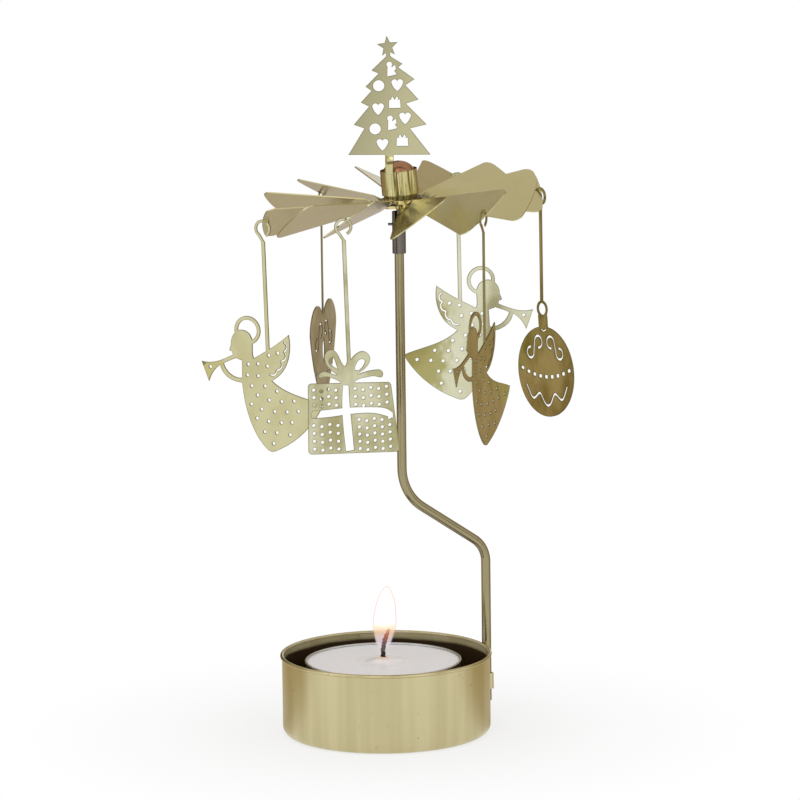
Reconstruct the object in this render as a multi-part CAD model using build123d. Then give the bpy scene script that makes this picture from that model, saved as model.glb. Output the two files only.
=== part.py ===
from build123d import *
import os
from math import asin, atan2, cos, degrees, radians, sin, sqrt, tan

# Angel chime carousel: a brass tin holds a tealight, a bent pole stands in a strap of the tin, and a wheel
# of twelve vanes turns on the needle at the pole's top, with six pierced charms hooked into its vanes.
# Millimetres. The origin is the centre of the tin's underside, +Z is up, and +X points to the pole's side.

# Tealight
TEALIGHT_DIA = 38.4
TEALIGHT_HEIGHT = 17.9
TEALIGHT_WALL = 0.2
TEALIGHT_RIM = 0.3
TEALIGHT_SHIFT = 0.7
WAX_BELOW_RIM = 0.5
WAX_RISE = 1.1
WAX_RISE_DIA = 9.0
WICK_DIA = 1.3
WICK_HEIGHT = 6.8
WICK_BEND = 1.6
WICK_BEND_SHARE = 0.75
SUSTAINER_DIA = 12.5
SUSTAINER_SHEET = 0.3
SUSTAINER_NECK = 3.2
SUSTAINER_NECK_WALL = 0.3

# Tin cup
TIN_DIA = 50.9
TIN_HEIGHT = 19.9
TIN_WALL = 0.35
TIN_CORNER = 2.2
TIN_BEAD = 0.45

# Strap lanced out of the tin's wall
STRAP_BOTTOM = 8.3
STRAP_HEIGHT = 3.9
STRAP_WALL = 0.35
STRAP_CORNER = 0.7

# Pole: round wire with a flattened foot, two bends in one upright plane
POLE_DIA = 2.3
POLE_AZIMUTH = 23.0
POLE_FOOT_THICK = 1.9
POLE_FOOT_BELOW_STRAP = 3.0
POLE_AXIS_REACH = 4.9
POLE_LOW_CORNER_Z = 43.9
POLE_HIGH_CORNER_Z = 58.9
POLE_LOW_BEND = 7.0
POLE_HIGH_BEND = 12.0
POLE_IN_FERRULE = 4.4

# Ferrule, its cross pin and the needle
FERRULE_BOTTOM = 118.4
FERRULE_LENGTH = 10.2
FERRULE_DIA = 3.3
FERRULE_SEAM = 0.25
FERRULE_SEAM_ANGLE = 244.0
FERRULE_NOTCH_WIDTH = 0.7
FERRULE_NOTCH_DEPTH = 2.4
PIN_DIA = 0.65
PIN_PROUD = 1.0
PIN_FROM_TOP = 3.1
NEEDLE_DIA = 1.2
NEEDLE_PLUG_LENGTH = 4.2
NEEDLE_TIP_Z = 139.5
NEEDLE_POINT_LENGTH = 2.6

# Vane wheel
SHEET = 0.3
VANES = 12
VANE_START = 7.2
VANE_TIP_R = 34.2
VANE_ROOT_R = 8.6
VANE_CORNER = 2.0
VANE_SLIT = 0.3
VANE_PITCH = 31.0
VANE_DROOPS = (1.5, 0.5, -1.0, -1.5, -0.5, 0.0, 3.0, -0.5, -2.0, -0.5, 1.0, 0.0)
DISC_R = 6.3
NECK_LAP = 0.5
WHEEL_TILT = 4.5
PIVOT_RISE = 8.5
HANG_INSET = 1.05
HANG_HOLE_R = 0.65

# Hub
HUB_DIA = 8.2
HUB_WALL = 0.3
HUB_SHOULDER = 6.4
HUB_HEIGHT = 10.0
HUB_FLANGE_DIA = 10.2
HUB_FLANGE_THICK = 0.8
HUB_WASHER_THICK = 0.7
HUB_LIP_DIA = 8.9
HUB_LIP_THICK = 0.35
JEWEL_DIA = 3.0
JEWEL_BOTTOM = 8.0
JEWEL_MOUTH_DIA = 1.5

# Tree topper: one sheet, its stem rolled into a split sleeve at the lower end
TREE_HEIGHT = 28.2
TREE_TURN = 0.0
STEM_TURN = -29.0
TREE_BASE_Z = 143.0
TREE_STEM = 2.1
SLEEVE_DIA = 9.0
SLEEVE_BOTTOM = 1.9
SLEEVE_LENGTH = 6.0
SLEEVE_SPLIT = 0.3
SLEEVE_SPLIT_ANGLE = 267.0

# Charms
RING_OUT_R = 2.2
RING_IN_R = 1.5
RING_OPEN_FROM = 235.0
RING_OPEN_TO = 296.0
STEM_WIDTH = 0.95
STEM_SHOULDER = 3.3
ANGEL_HEIGHT = 33.4
ANGEL_STEM = 29.7
ANGEL_DOT_R = 0.42
GIFT_HEIGHT = 22.0
GIFT_STEM = 32.6
GIFT_DOT_R = 0.4
GIFT_CORNER = 0.9
HEART_WIDTH = 25.0
HEART_STEM = 31.0
BAUBLE_DIA = 22.1
BAUBLE_STEM = 25.6
BAUBLE_LEAN = 4.5
BAUBLE_EYE_R = 2.05
BAUBLE_EYE_BAND = 0.6
BAUBLE_NECK = 3.4
SCROLL_CUT = 0.55
SLIT_CUT = 0.36
DASH_LONG = 1.3
DASH_WIDE = 0.85

# Fits
FIT = 0.03
SLIDE_FIT = 0.06
HOOK_GAP = 0.05
OVERRUN = 1.0

# Worked-out sizes
TIN_R = TIN_DIA / 2
BEAD_OUTER_R = TIN_R + TIN_BEAD
POLE_FOOT_REACH = BEAD_OUTER_R + SLIDE_FIT + POLE_FOOT_THICK / 2
POLE_AXIS = Vector(POLE_AXIS_REACH, 0, 0).rotate(Axis.Z, POLE_AZIMUTH)
HANG_R = VANE_TIP_R - HANG_INSET
HUB_R = HUB_DIA / 2
SLEEVE_MID_R = SLEEVE_DIA / 2 - SHEET / 2
WHEEL = Pos(POLE_AXIS.X, POLE_AXIS.Y, NEEDLE_TIP_Z) * Rot(0, -WHEEL_TILT, 0) * Pos(0, 0, -PIVOT_RISE)


def tube(outer_r, inner_r, bottom, length):
    """An upright tube about the Z axis."""
    ring = Circle(outer_r) - Circle(inner_r)
    return Pos(0, 0, bottom) * extrude(ring, length)


def rod(radius, bottom, length):
    """An upright round bar about the Z axis."""
    return Pos(0, 0, bottom) * extrude(Circle(radius), length)


def outline(size, *strokes):
    """A face inside strokes that follow each other: two points give a line and more give a smooth curve."""
    edges = []
    for stroke in strokes:
        points = scaled(stroke, size)
        edges.append(Line(*points) if len(points) == 2 else Spline(*points))
    return make_face(edges)


def scaled(points, size):
    return [(x * size, y * size) for x, y in points]


def mirrored(sketch):
    """A sketch together with its mirror image about the upright axis."""
    return sketch + mirror(sketch, about=Plane.YZ)


def sheet(face):
    """A piece of the charms' sheet metal, centred on the sketch plane."""
    return extrude(face, SHEET / 2, both=True)


# Tin


def tin_cup():
    """Pressed cup with a rolled rim and a strap lanced outwards to hold the pole's foot."""
    height = TIN_HEIGHT - TIN_BEAD
    outside = Pos(0, height / 2) * Rectangle(TIN_DIA, height)
    outside = fillet(outside.vertices().group_by(Axis.Y)[0], TIN_CORNER)
    inner_height = height - TIN_WALL
    inside = Pos(0, TIN_WALL + inner_height / 2) * Rectangle(TIN_DIA - 2 * TIN_WALL, inner_height)
    inside = fillet(inside.vertices().group_by(Axis.Y)[0], TIN_CORNER - TIN_WALL)
    wall = outside - inside
    half = Pos(TIN_DIA / 2, height / 2) * Rectangle(TIN_DIA, 2 * TIN_HEIGHT)
    bead = Pos(TIN_R, height) * Circle(TIN_BEAD)
    profile = (wall & half) + bead
    cup = revolve(Plane.XZ * profile, Axis.Z)
    return (cup - strap_window()) + strap()


def strap_frame(z):
    """The place of the pole's foot at a height, with X pointing away from the tin's axis."""
    return Rot(0, 0, POLE_AZIMUTH) * Pos(0, 0, z)


def strap_window():
    half_width = POLE_DIA / 2 + SLIDE_FIT
    window = Pos(TIN_R, 0) * Rectangle(2 * OVERRUN + TIN_WALL, 2 * half_width)
    return strap_frame(STRAP_BOTTOM) * extrude(window, STRAP_HEIGHT)


def strap():
    inner_half = POLE_DIA / 2 + SLIDE_FIT
    inner_reach = POLE_FOOT_REACH + POLE_FOOT_THICK / 2 + SLIDE_FIT
    outer_half = inner_half + STRAP_WALL
    outer_reach = inner_reach + STRAP_WALL
    start = TIN_R - TIN_WALL + FIT
    outer = Pos((start + outer_reach) / 2, 0) * Rectangle(outer_reach - start, 2 * outer_half)
    outer = fillet(outer.vertices().group_by(Axis.X)[-1], STRAP_CORNER)
    hollow = Pos(inner_reach - TIN_HEIGHT / 2, 0) * Rectangle(TIN_HEIGHT, 2 * inner_half)
    hollow = fillet(hollow.vertices().group_by(Axis.X)[-1], STRAP_CORNER - STRAP_WALL)
    return strap_frame(STRAP_BOTTOM) * extrude(outer - hollow, STRAP_HEIGHT)


# Pole and needle


def pole():
    """Wire bent twice; its foot is flattened where it passes the rim and stands in the strap."""
    foot = STRAP_BOTTOM - POLE_FOOT_BELOW_STRAP
    top = FERRULE_BOTTOM + POLE_IN_FERRULE
    route = FilletPolyline(
        (POLE_FOOT_REACH, 0, foot),
        (POLE_FOOT_REACH, 0, POLE_LOW_CORNER_Z),
        (POLE_AXIS_REACH, 0, POLE_HIGH_CORNER_Z),
        (POLE_AXIS_REACH, 0, top),
        radius=[POLE_LOW_BEND, POLE_HIGH_BEND],
    )
    wire = sweep(Plane(origin=route @ 0, z_dir=route % 0) * Circle(POLE_DIA / 2), path=route)
    shoulder = TIN_HEIGHT + SLIDE_FIT
    flat = Rectangle(POLE_FOOT_THICK, 2 * POLE_DIA)
    spare = Rectangle(2 * POLE_DIA, 2 * POLE_DIA) - flat
    spare = Pos(POLE_FOOT_REACH, 0, foot - OVERRUN) * extrude(spare, shoulder - foot + OVERRUN)
    return Rot(0, 0, POLE_AZIMUTH) * (wire - spare)


def on_pole(shape):
    """Moves a shape made about the Z axis onto the pole's upper axis."""
    return Pos(POLE_AXIS.X, POLE_AXIS.Y, 0) * shape


def pin_hole(radius):
    """A level bar along X through the ferrule, at the cross pin's height."""
    height = FERRULE_BOTTOM + FERRULE_LENGTH - PIN_FROM_TOP
    return Pos(0, 0, height) * Rot(0, 90, 0) * Cylinder(radius, FERRULE_DIA + 2 * OVERRUN)


def pole_ferrule():
    """Rolled steel tube over the pole's top, open along its seam and notched at the top."""
    body = tube(FERRULE_DIA / 2, POLE_DIA / 2 + FIT, FERRULE_BOTTOM, FERRULE_LENGTH)
    seam = Rectangle(FERRULE_DIA, FERRULE_SEAM, align=(Align.MIN, Align.CENTER))
    notch = Rectangle(FERRULE_DIA, FERRULE_NOTCH_WIDTH, align=(Align.MIN, Align.CENTER))
    top = FERRULE_BOTTOM + FERRULE_LENGTH
    cut = Pos(0, 0, FERRULE_BOTTOM - OVERRUN) * extrude(seam, FERRULE_LENGTH + 2 * OVERRUN)
    cut += Pos(0, 0, top - FERRULE_NOTCH_DEPTH) * extrude(notch, FERRULE_NOTCH_DEPTH + OVERRUN)
    body -= Rot(0, 0, FERRULE_SEAM_ANGLE) * cut
    return on_pole(body - pin_hole(PIN_DIA / 2 + FIT))


def ferrule_pin():
    """Cross pin through the ferrule and the needle's plug, proud on one side."""
    height = FERRULE_BOTTOM + FERRULE_LENGTH - PIN_FROM_TOP
    length = FERRULE_DIA + PIN_PROUD
    pin = extrude(Circle(PIN_DIA / 2), length)
    pin = fillet(pin.edges().group_by(Axis.Z)[-1], PIN_DIA / 4)
    return on_pole(Pos(FERRULE_DIA / 2, 0, height) * Rot(0, -90, 0) * pin)


def pivot_needle():
    """Pointed needle on a plug that the ferrule grips above the pole's end."""
    plug_bottom = FERRULE_BOTTOM + POLE_IN_FERRULE + FIT
    needle_r = NEEDLE_DIA / 2
    plug = rod(POLE_DIA / 2, plug_bottom, NEEDLE_PLUG_LENGTH)
    shank_top = NEEDLE_TIP_Z - NEEDLE_POINT_LENGTH
    shank = rod(needle_r, plug_bottom, shank_top - plug_bottom)
    half_point = Pos(0, 0, shank_top + NEEDLE_POINT_LENGTH / 2)
    point = half_point * Cone(needle_r, 0, NEEDLE_POINT_LENGTH)
    return on_pole(plug + shank + point - pin_hole(PIN_DIA / 2 + FIT))


# Vane wheel


def vane_angle(index):
    return VANE_START + index * 360 / VANES


def vane_frame(index):
    """The place of one vane on the wheel: X runs out along its middle line, and Z is square to its sheet."""
    return Rot(0, 0, vane_angle(index)) * Rot(0, VANE_DROOPS[index], 0) * Rot(VANE_PITCH, 0, 0)


def vane_half_width(radius):
    return radius * tan(radians(180 / VANES)) - VANE_SLIT / 2


def vane_face(holed):
    """A sector of the stamped disc between two slits, with round tip corners."""
    side = radians(180 / VANES) - asin(VANE_SLIT / 2 / VANE_TIP_R)
    corner = (VANE_TIP_R * cos(side), VANE_TIP_R * sin(side))
    root = (VANE_ROOT_R, vane_half_width(VANE_ROOT_R))
    low_corner = (corner[0], -corner[1])
    low_root = (root[0], -root[1])
    tip = ThreePointArc(low_corner, (VANE_TIP_R, 0), corner)
    face = make_face([Line(low_root, low_corner), tip, Line(corner, root), Line(root, low_root)])
    face = fillet(face.vertices().group_by(Axis.X)[-1], VANE_CORNER)
    if holed:
        face -= Pos(HANG_R, 0) * Circle(HANG_HOLE_R)
    return face


def vane_section(frame, radius):
    return frame * Pos(radius, 0, 0) * Rot(0, 90, 0) * Rectangle(SHEET, 2 * vane_half_width(radius))


def vane(index, holed):
    """One vane with the twisted neck that joins it to the flat disc."""
    flat = Rot(0, 0, vane_angle(index))
    pitched = vane_frame(index)
    sections = [
        vane_section(flat, DISC_R - NECK_LAP),
        vane_section(flat, DISC_R),
        vane_section(pitched, VANE_ROOT_R),
        vane_section(pitched, VANE_ROOT_R + NECK_LAP),
    ]
    return loft(sections, ruled=True) + pitched * sheet(vane_face(holed))


def vane_wheel():
    """One stamped sheet: a flat disc and its vanes, each twisted at its neck and bent a little by hand."""
    hung = {charm[0] for charm in CHARMS.values()}
    vanes = [vane(index, index in hung) for index in range(VANES)]
    disc = Circle(DISC_R + FIT) - Circle(HUB_R + FIT)
    return WHEEL * (sheet(disc) + vanes)


# Hub


def hub_cap():
    """Drawn cap with a domed top, a flange on the sheet and a lip clenched below the washer."""
    top = SHEET / 2
    low = -top - HUB_WASHER_THICK - HUB_LIP_THICK
    dome = HUB_HEIGHT - HUB_SHOULDER
    solid = rod(HUB_R, low, HUB_SHOULDER - low)
    solid += Pos(0, 0, HUB_SHOULDER) * domed(HUB_R, dome)
    bore = rod(HUB_R - HUB_WALL, low - OVERRUN, HUB_SHOULDER - low + OVERRUN)
    bore += Pos(0, 0, HUB_SHOULDER) * domed(HUB_R - HUB_WALL, dome - HUB_WALL)
    flange = rod(HUB_FLANGE_DIA / 2, top, HUB_FLANGE_THICK)
    flange = fillet(flange.edges().group_by(Axis.Z)[-1], HUB_FLANGE_THICK / 4)
    lip = rod(HUB_LIP_DIA / 2, low, HUB_LIP_THICK)
    return WHEEL * (solid + flange + lip - bore)


def domed(radius, height):
    """Half of an upright ellipsoid, flat side down."""
    arc = EllipticalCenterArc((0, 0), radius, height, start_angle=0, arc_size=90)
    face = make_face([arc, Line((0, height), (0, 0)), Line((0, 0), (radius, 0))])
    return revolve(Plane.XZ * face, Axis.Z)


def hub_washer():
    """Flat ring below the sheet, held by the cap's lip."""
    low = -SHEET / 2 - HUB_WASHER_THICK
    return WHEEL * tube(HUB_FLANGE_DIA / 2, HUB_R + FIT, low, HUB_WASHER_THICK)


def pivot_jewel():
    """Small bearing under the dome, with the cone that stands on the needle's point."""
    inner_r = HUB_R - HUB_WALL
    inner_dome = HUB_HEIGHT - HUB_SHOULDER - HUB_WALL
    jewel_r = JEWEL_DIA / 2
    top = HUB_SHOULDER + inner_dome * sqrt(1 - (jewel_r / inner_r) ** 2) - FIT
    body = rod(jewel_r, JEWEL_BOTTOM, top - JEWEL_BOTTOM)
    depth = PIVOT_RISE + FIT - JEWEL_BOTTOM
    socket = Pos(0, 0, JEWEL_BOTTOM + depth / 2) * Cone(JEWEL_MOUTH_DIA / 2, 0, depth)
    return WHEEL * (body - socket)


# Tree topper

TREE_RIGHT_SHARES = (
    (0.018, 0.852), (0.03, 0.839), (0.12, 0.781), (0.085, 0.751), (0.222, 0.648), (0.144, 0.597),
    (0.254, 0.473), (0.146, 0.439), (0.32, 0.258), (0.178, 0.225), (0.351, -0.003),
)
TREE_LEFT_SHARES = (
    (-0.35, 0.003), (-0.21, 0.23), (-0.3, 0.262), (-0.168, 0.417), (-0.237, 0.453), (-0.145, 0.553),
    (-0.196, 0.588), (-0.083, 0.7), (-0.143, 0.727), (-0.022, 0.842), (-0.012, 0.852),
)
STAR_CENTRE_SHARES = (-0.003, 0.931)
STAR_R_SHARES = (0.092, 0.04)
STAR_TURN = 23.0
STAR_POINTS = 5
TREE_BALL_SHARES = ((-0.084, 0.595), (-0.119, 0.224))
TREE_BALL_R_SHARE = 0.048
TREE_HEART_SHARES = ((0.075, 0.603), (-0.091, 0.398), (0.138, 0.316), (-0.058, 0.091))
TREE_HEART_SHARE = 0.1
TREE_GIFT_SHARES = ((0.051, 0.444), (0.112, 0.116))
TREE_GIFT_SHARE = 0.1
TREE_FIGURE_SHARES = ((0.02, 0.735), (0.02, 0.272))
TREE_FIGURE_SHARE = 0.13


def star(centre_shares, size):
    """A five-pointed star, turned a little as on the photographed tree."""
    outer_share, inner_share = STAR_R_SHARES
    points = []
    for index in range(2 * STAR_POINTS):
        reach = size * (inner_share if index % 2 else outer_share)
        angle = radians(STAR_TURN + index * 180 / STAR_POINTS)
        across, up = reach * cos(angle), reach * sin(angle)
        points.append((across + centre_shares[0] * size, up + centre_shares[1] * size))
    return make_face(Polyline(*points, close=True))


def heart(width):
    """A heart about its middle: two round lobes that run down to a point."""
    half = outline(
        width,
        ((0.0, 0.28), (0.1, 0.42), (0.26, 0.46), (0.42, 0.38), (0.5, 0.2)),
        ((0.5, 0.2), (0.38, -0.12), (0.0, -0.56)),
        ((0.0, -0.56), (0.0, 0.28)),
    )
    return mirrored(half)


def little_gift(width):
    """A box with two bow loops, as cut through the tree."""
    box_shares = ((-0.5, -0.42), (0.5, -0.42), (0.46, 0.3), (-0.46, 0.3))
    loop_shares = ((0.0, 0.28), (0.34, 0.32), (0.2, 0.6))
    box = make_face(Polyline(*[(x * width, y * width) for x, y in box_shares], close=True))
    loop = make_face(Polyline(*[(x * width, y * width) for x, y in loop_shares], close=True))
    return box + mirrored(loop)


def little_figure(height):
    """A small gowned figure with one wing, as cut through the tree."""
    gown_shares = ((-0.22, -0.48), (0.4, -0.34), (0.04, 0.2), (-0.2, 0.2))
    wing_shares = ((-0.05, 0.05), (0.3, 0.3), (0.34, -0.02), (0.05, -0.2))
    head_share = (-0.08, 0.32)
    gown = make_face(Polyline(*[(x * height, y * height) for x, y in gown_shares], close=True))
    wing = make_face(Polyline(*[(x * height, y * height) for x, y in wing_shares], close=True))
    head = Pos(head_share[0] * height, head_share[1] * height) * Circle(TREE_BALL_R_SHARE * TREE_HEIGHT / 2)
    return gown + wing + head


def tree_cuts():
    """Every ornament cut through the tree."""
    size = TREE_HEIGHT
    cuts = []
    cuts += [Pos(x * size, y * size) * Circle(TREE_BALL_R_SHARE * size) for x, y in TREE_BALL_SHARES]
    cuts += [Pos(x * size, y * size) * heart(TREE_HEART_SHARE * size) for x, y in TREE_HEART_SHARES]
    cuts += [Pos(x * size, y * size) * little_gift(TREE_GIFT_SHARE * size) for x, y in TREE_GIFT_SHARES]
    cuts += [Pos(x * size, y * size) * little_figure(TREE_FIGURE_SHARE * size) for x, y in TREE_FIGURE_SHARES]
    return cuts


def tree_face():
    """The tree and its star as one pierced outline, standing on the middle of the tree's base."""
    points = scaled(TREE_RIGHT_SHARES + TREE_LEFT_SHARES, TREE_HEIGHT)
    face = make_face(Polyline(*points, close=True))
    neck_half = TREE_RIGHT_SHARES[0][0] * TREE_HEIGHT
    neck_bottom, neck_top = TREE_RIGHT_SHARES[1][1] * TREE_HEIGHT, STAR_CENTRE_SHARES[1] * TREE_HEIGHT
    face += Pos(0, (neck_top + neck_bottom) / 2) * Rectangle(2 * neck_half, neck_top - neck_bottom)
    face += star(STAR_CENTRE_SHARES, TREE_HEIGHT)
    for cut in tree_cuts():
        face -= cut
    return face


def tree_topper():
    """The tree, its twisted stem and the split sleeve that grips the hub, all from one sheet."""
    sleeve_top = SLEEVE_BOTTOM + SLEEVE_LENGTH
    direction = radians(STEM_TURN - 90)
    reach = SLEEVE_MID_R + FIT
    root = WHEEL * Pos(reach * cos(direction), reach * sin(direction), sleeve_top) * Rot(0, 0, STEM_TURN)
    foot = Pos(root.position.X, root.position.Y, TREE_BASE_Z) * Rot(0, 0, TREE_TURN)
    section = Rectangle(TREE_STEM, SHEET)
    lap = Pos(0, 0, NECK_LAP)
    low, high = root * lap, foot * lap
    stem = loft([root * lap.inverse() * section, low * section, foot * section, high * section], ruled=True)
    plate = foot * Rot(90, 0, 0) * sheet(tree_face())
    sleeve = tube(SLEEVE_DIA / 2, SLEEVE_DIA / 2 - SHEET, SLEEVE_BOTTOM, SLEEVE_LENGTH)
    split = Rectangle(SLEEVE_DIA, SLEEVE_SPLIT, align=(Align.MIN, Align.CENTER))
    split = Pos(0, 0, SLEEVE_BOTTOM - OVERRUN) * extrude(split, SLEEVE_LENGTH + 2 * OVERRUN)
    sleeve -= Rot(0, 0, SLEEVE_SPLIT_ANGLE) * split
    return WHEEL * sleeve + stem + plate


# Charms: each is drawn with its hook's centre at the origin and its stem running straight down

ANGEL_DOT_SHARES = (
    (0.007, -0.039), (0.081, -0.02), (-0.163, -0.11), (-0.083, -0.105), (-0.007, -0.119), (-0.173, -0.19),
    (-0.086, -0.193), (-0.142, -0.269), (-0.033, -0.267), (0.063, -0.301), (-0.098, -0.335), (-0.005, -0.369),
    (0.097, -0.376), (0.2, -0.368), (-0.152, -0.403), (-0.07, -0.438), (0.036, -0.452), (0.139, -0.451),
    (0.231, -0.442), (-0.11, -0.507), (-0.016, -0.525), (0.088, -0.531), (0.175, -0.526), (0.335, -0.43),
    (-0.051, -0.604), (0.048, -0.607), (0.156, -0.618), (0.017, -0.687), (-0.477, -0.139),
)
ANGEL_HALO_SHARES = (-0.16, 0.139)
ANGEL_HALO_R_SHARE = 0.106
ANGEL_HALO_BAND_SHARE = 0.028
WING_SLIT_SHARES = (
    ((0.133, 0.059), (0.158, 0.022), (0.131, -0.007)),
    ((0.131, -0.007), (0.146, -0.05), (0.107, -0.078)),
    ((0.107, -0.078), (0.108, -0.122), (0.068, -0.146)),
    ((0.068, -0.146), (0.045, -0.182), (0.009, -0.178)),
)


def hook():
    """The open ring that hooks over a vane's edge, with the shoulder down to the stem."""
    start, end = radians(RING_OPEN_FROM), radians(RING_OPEN_TO)
    middle = (start + end) / 2
    far = 2 * RING_OUT_R
    gap = Polyline(
        (0, 0),
        (far * cos(start), far * sin(start)),
        (far * cos(middle), far * sin(middle)),
        (far * cos(end), far * sin(end)),
        close=True,
    )
    ring = Circle(RING_OUT_R) - Circle(RING_IN_R) - make_face(gap)
    band = RING_OUT_R - RING_IN_R
    mean = RING_IN_R + band / 2
    tip = Vector(mean * cos(start), mean * sin(start))
    foot = Vector(0, -STEM_SHOULDER)
    across = (foot - tip).normalized().rotate(Axis.Z, 90) * (band / 2)
    shoulder = Polyline(tip + across, foot + across, foot - across, tip - across, close=True)
    ends = Circle(band / 2)
    return ring + make_face(shoulder) + Pos(tip.X, tip.Y) * ends + Pos(0, foot.Y) * ends


def charm_sheet(figure, stem_length):
    """Hook, stem and figure in one face; the figure's own origin is at the stem's foot."""
    stem = stem_length - STEM_SHOULDER
    strip = Pos(0, -STEM_SHOULDER - stem / 2) * Rectangle(STEM_WIDTH, stem + SHEET)
    return hook() + strip + Pos(0, -stem_length) * figure


def angel_figure():
    """An angel in profile that blows a horn: gown, wing, head, halo, arm and horn."""
    size = ANGEL_HEIGHT
    gown = outline(
        size,
        ((-0.115, -0.068), (-0.213, -0.064)),
        ((-0.213, -0.064), (-0.221, -0.246)),
        ((-0.221, -0.246), (-0.196, -0.425), (-0.157, -0.549), (-0.101, -0.657), (-0.039, -0.729)),
        ((-0.039, -0.729), (-0.003, -0.749), (0.042, -0.74)),
        ((0.042, -0.74), (0.167, -0.676), (0.31, -0.56), (0.415, -0.425)),
        ((0.415, -0.425), (0.431, -0.388)),
        ((0.431, -0.388), (0.246, -0.334), (0.118, -0.288), (0.024, -0.225)),
        ((0.024, -0.225), (-0.115, -0.068)),
    )
    wing = outline(
        size,
        ((-0.125, -0.07), (-0.008, -0.005)),
        ((-0.008, -0.005), (0.09, 0.054), (0.176, 0.117)),
        ((0.176, 0.117), (0.182, 0.02), (0.142, -0.117), (0.024, -0.225)),
        ((0.024, -0.225), (-0.125, -0.07)),
    )
    head = outline(
        size,
        ((-0.113, -0.075), (-0.126, -0.01), (-0.123, 0.042), (-0.141, 0.108), (-0.19, 0.139), (-0.25, 0.131)),
        ((-0.25, 0.131), (-0.283, 0.095), (-0.3, 0.032)),
        ((-0.3, 0.032), (-0.316, -0.012)),
        ((-0.316, -0.012), (-0.29, -0.022)),
        ((-0.29, -0.022), (-0.284, -0.052), (-0.25, -0.073)),
        ((-0.25, -0.073), (-0.2, -0.09)),
        ((-0.2, -0.09), (-0.113, -0.075)),
    )
    horn = outline(
        size,
        ((-0.27, -0.036), (-0.36, -0.075), (-0.418, -0.095), (-0.5, -0.106), (-0.548, -0.1)),
        ((-0.548, -0.1), (-0.494, -0.246)),
        ((-0.494, -0.246), (-0.46, -0.181), (-0.407, -0.129)),
        ((-0.407, -0.129), (-0.355, -0.105), (-0.27, -0.071)),
        ((-0.27, -0.071), (-0.27, -0.036)),
    )
    arm = outline(
        size,
        ((-0.397, -0.118), (-0.357, -0.196), (-0.302, -0.231), (-0.205, -0.248)),
        ((-0.205, -0.248), (-0.205, -0.209)),
        ((-0.205, -0.209), (-0.284, -0.204), (-0.338, -0.166), (-0.369, -0.1)),
        ((-0.369, -0.1), (-0.397, -0.118)),
    )
    halo_r = ANGEL_HALO_R_SHARE * size
    band = ANGEL_HALO_BAND_SHARE * size
    halo = Pos(*scaled([ANGEL_HALO_SHARES], size)[0]) * (Circle(halo_r) - Circle(halo_r - band))
    figure = gown + wing + head + halo + horn + arm
    for x, y in scaled(ANGEL_DOT_SHARES, size):
        figure -= Pos(x, y) * Circle(ANGEL_DOT_R)
    for scallop in WING_SLIT_SHARES:
        figure -= trace(ThreePointArc(*scaled(scallop, size)), SLIT_CUT)
    return figure


def mirrored_angel():
    """The same angel cut the other way round, so that it faces right."""
    return mirror(angel_figure(), about=Plane.YZ)


GIFT_BOX_SHARES = ((-0.46, -0.205), (0.45, -0.25), (0.52, -1.025), (-0.487, -0.986))
GIFT_KNOT_SHARES = (
    (-0.017, 0.02), (0.017, 0.02), (0.05, -0.11), (0.11, -0.15), (0.057, -0.215), (0.06, -0.25),
    (-0.1, -0.25), (-0.1, -0.215), (-0.15, -0.15), (-0.1, -0.1), (-0.035, -0.03),
)
GIFT_LOOP_SHARES = (
    ((0.005, -0.04), (0.092, 0.093), (0.159, 0.11), (0.233, 0.038), (0.219, -0.027), (0.116, -0.119),
     (0.04, -0.15)),
    ((-0.035, -0.053), (-0.087, 0.017), (-0.128, 0.109), (-0.181, 0.151), (-0.237, 0.138), (-0.267, 0.074),
     (-0.254, -0.004), (-0.191, -0.086), (-0.148, -0.122), (-0.06, -0.15)),
)
GIFT_EYE_SHARES = (
    ((0.062, -0.09), (0.09, -0.006), (0.133, 0.024), (0.171, 0.01), (0.164, -0.034), (0.084, -0.094)),
    ((-0.124, -0.07), (-0.146, -0.001), (-0.185, 0.066), (-0.212, 0.046), (-0.2, -0.015)),
)
GIFT_TAIL_SHARES = (
    ((0.09, -0.14), (0.194, -0.113), (0.282, -0.103), (0.348, -0.113), (0.369, -0.148), (0.356, -0.186),
     (0.279, -0.175), (0.191, -0.179), (0.113, -0.19), (0.057, -0.215)),
    ((-0.13, -0.13), (-0.225, -0.1), (-0.312, -0.088), (-0.341, -0.119), (-0.337, -0.147), (-0.282, -0.145),
     (-0.194, -0.163), (-0.14, -0.189), (-0.097, -0.22)),
)
GIFT_DOT_GRIDS_SHARES = (
    ((0.055, -0.295), (0.4, -0.47), 5, 3),
    ((-0.4, -0.28), (-0.157, -0.446), 4, 3),
    ((0.085, -0.64), (0.42, -0.96), 5, 5),
    ((-0.415, -0.67), (-0.15, -0.93), 4, 4),
)


def dot_grid(size, first_shares, last_shares, columns, rows):
    """Places of dots in rows and columns, with every other column a little lower."""
    places = []
    for row in range(rows):
        for column in range(columns):
            x_share = first_shares[0] + (last_shares[0] - first_shares[0]) * column / (columns - 1)
            y_share = first_shares[1] + (last_shares[1] - first_shares[1]) * row / (rows - 1)
            places.append((x_share * size, y_share * size - column % 2 * GIFT_DOT_R))
    return places


def blob(size, points):
    """The face inside a smooth curve through points, closed by a straight line."""
    return outline(size, points, (points[-1], points[0]))


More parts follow.
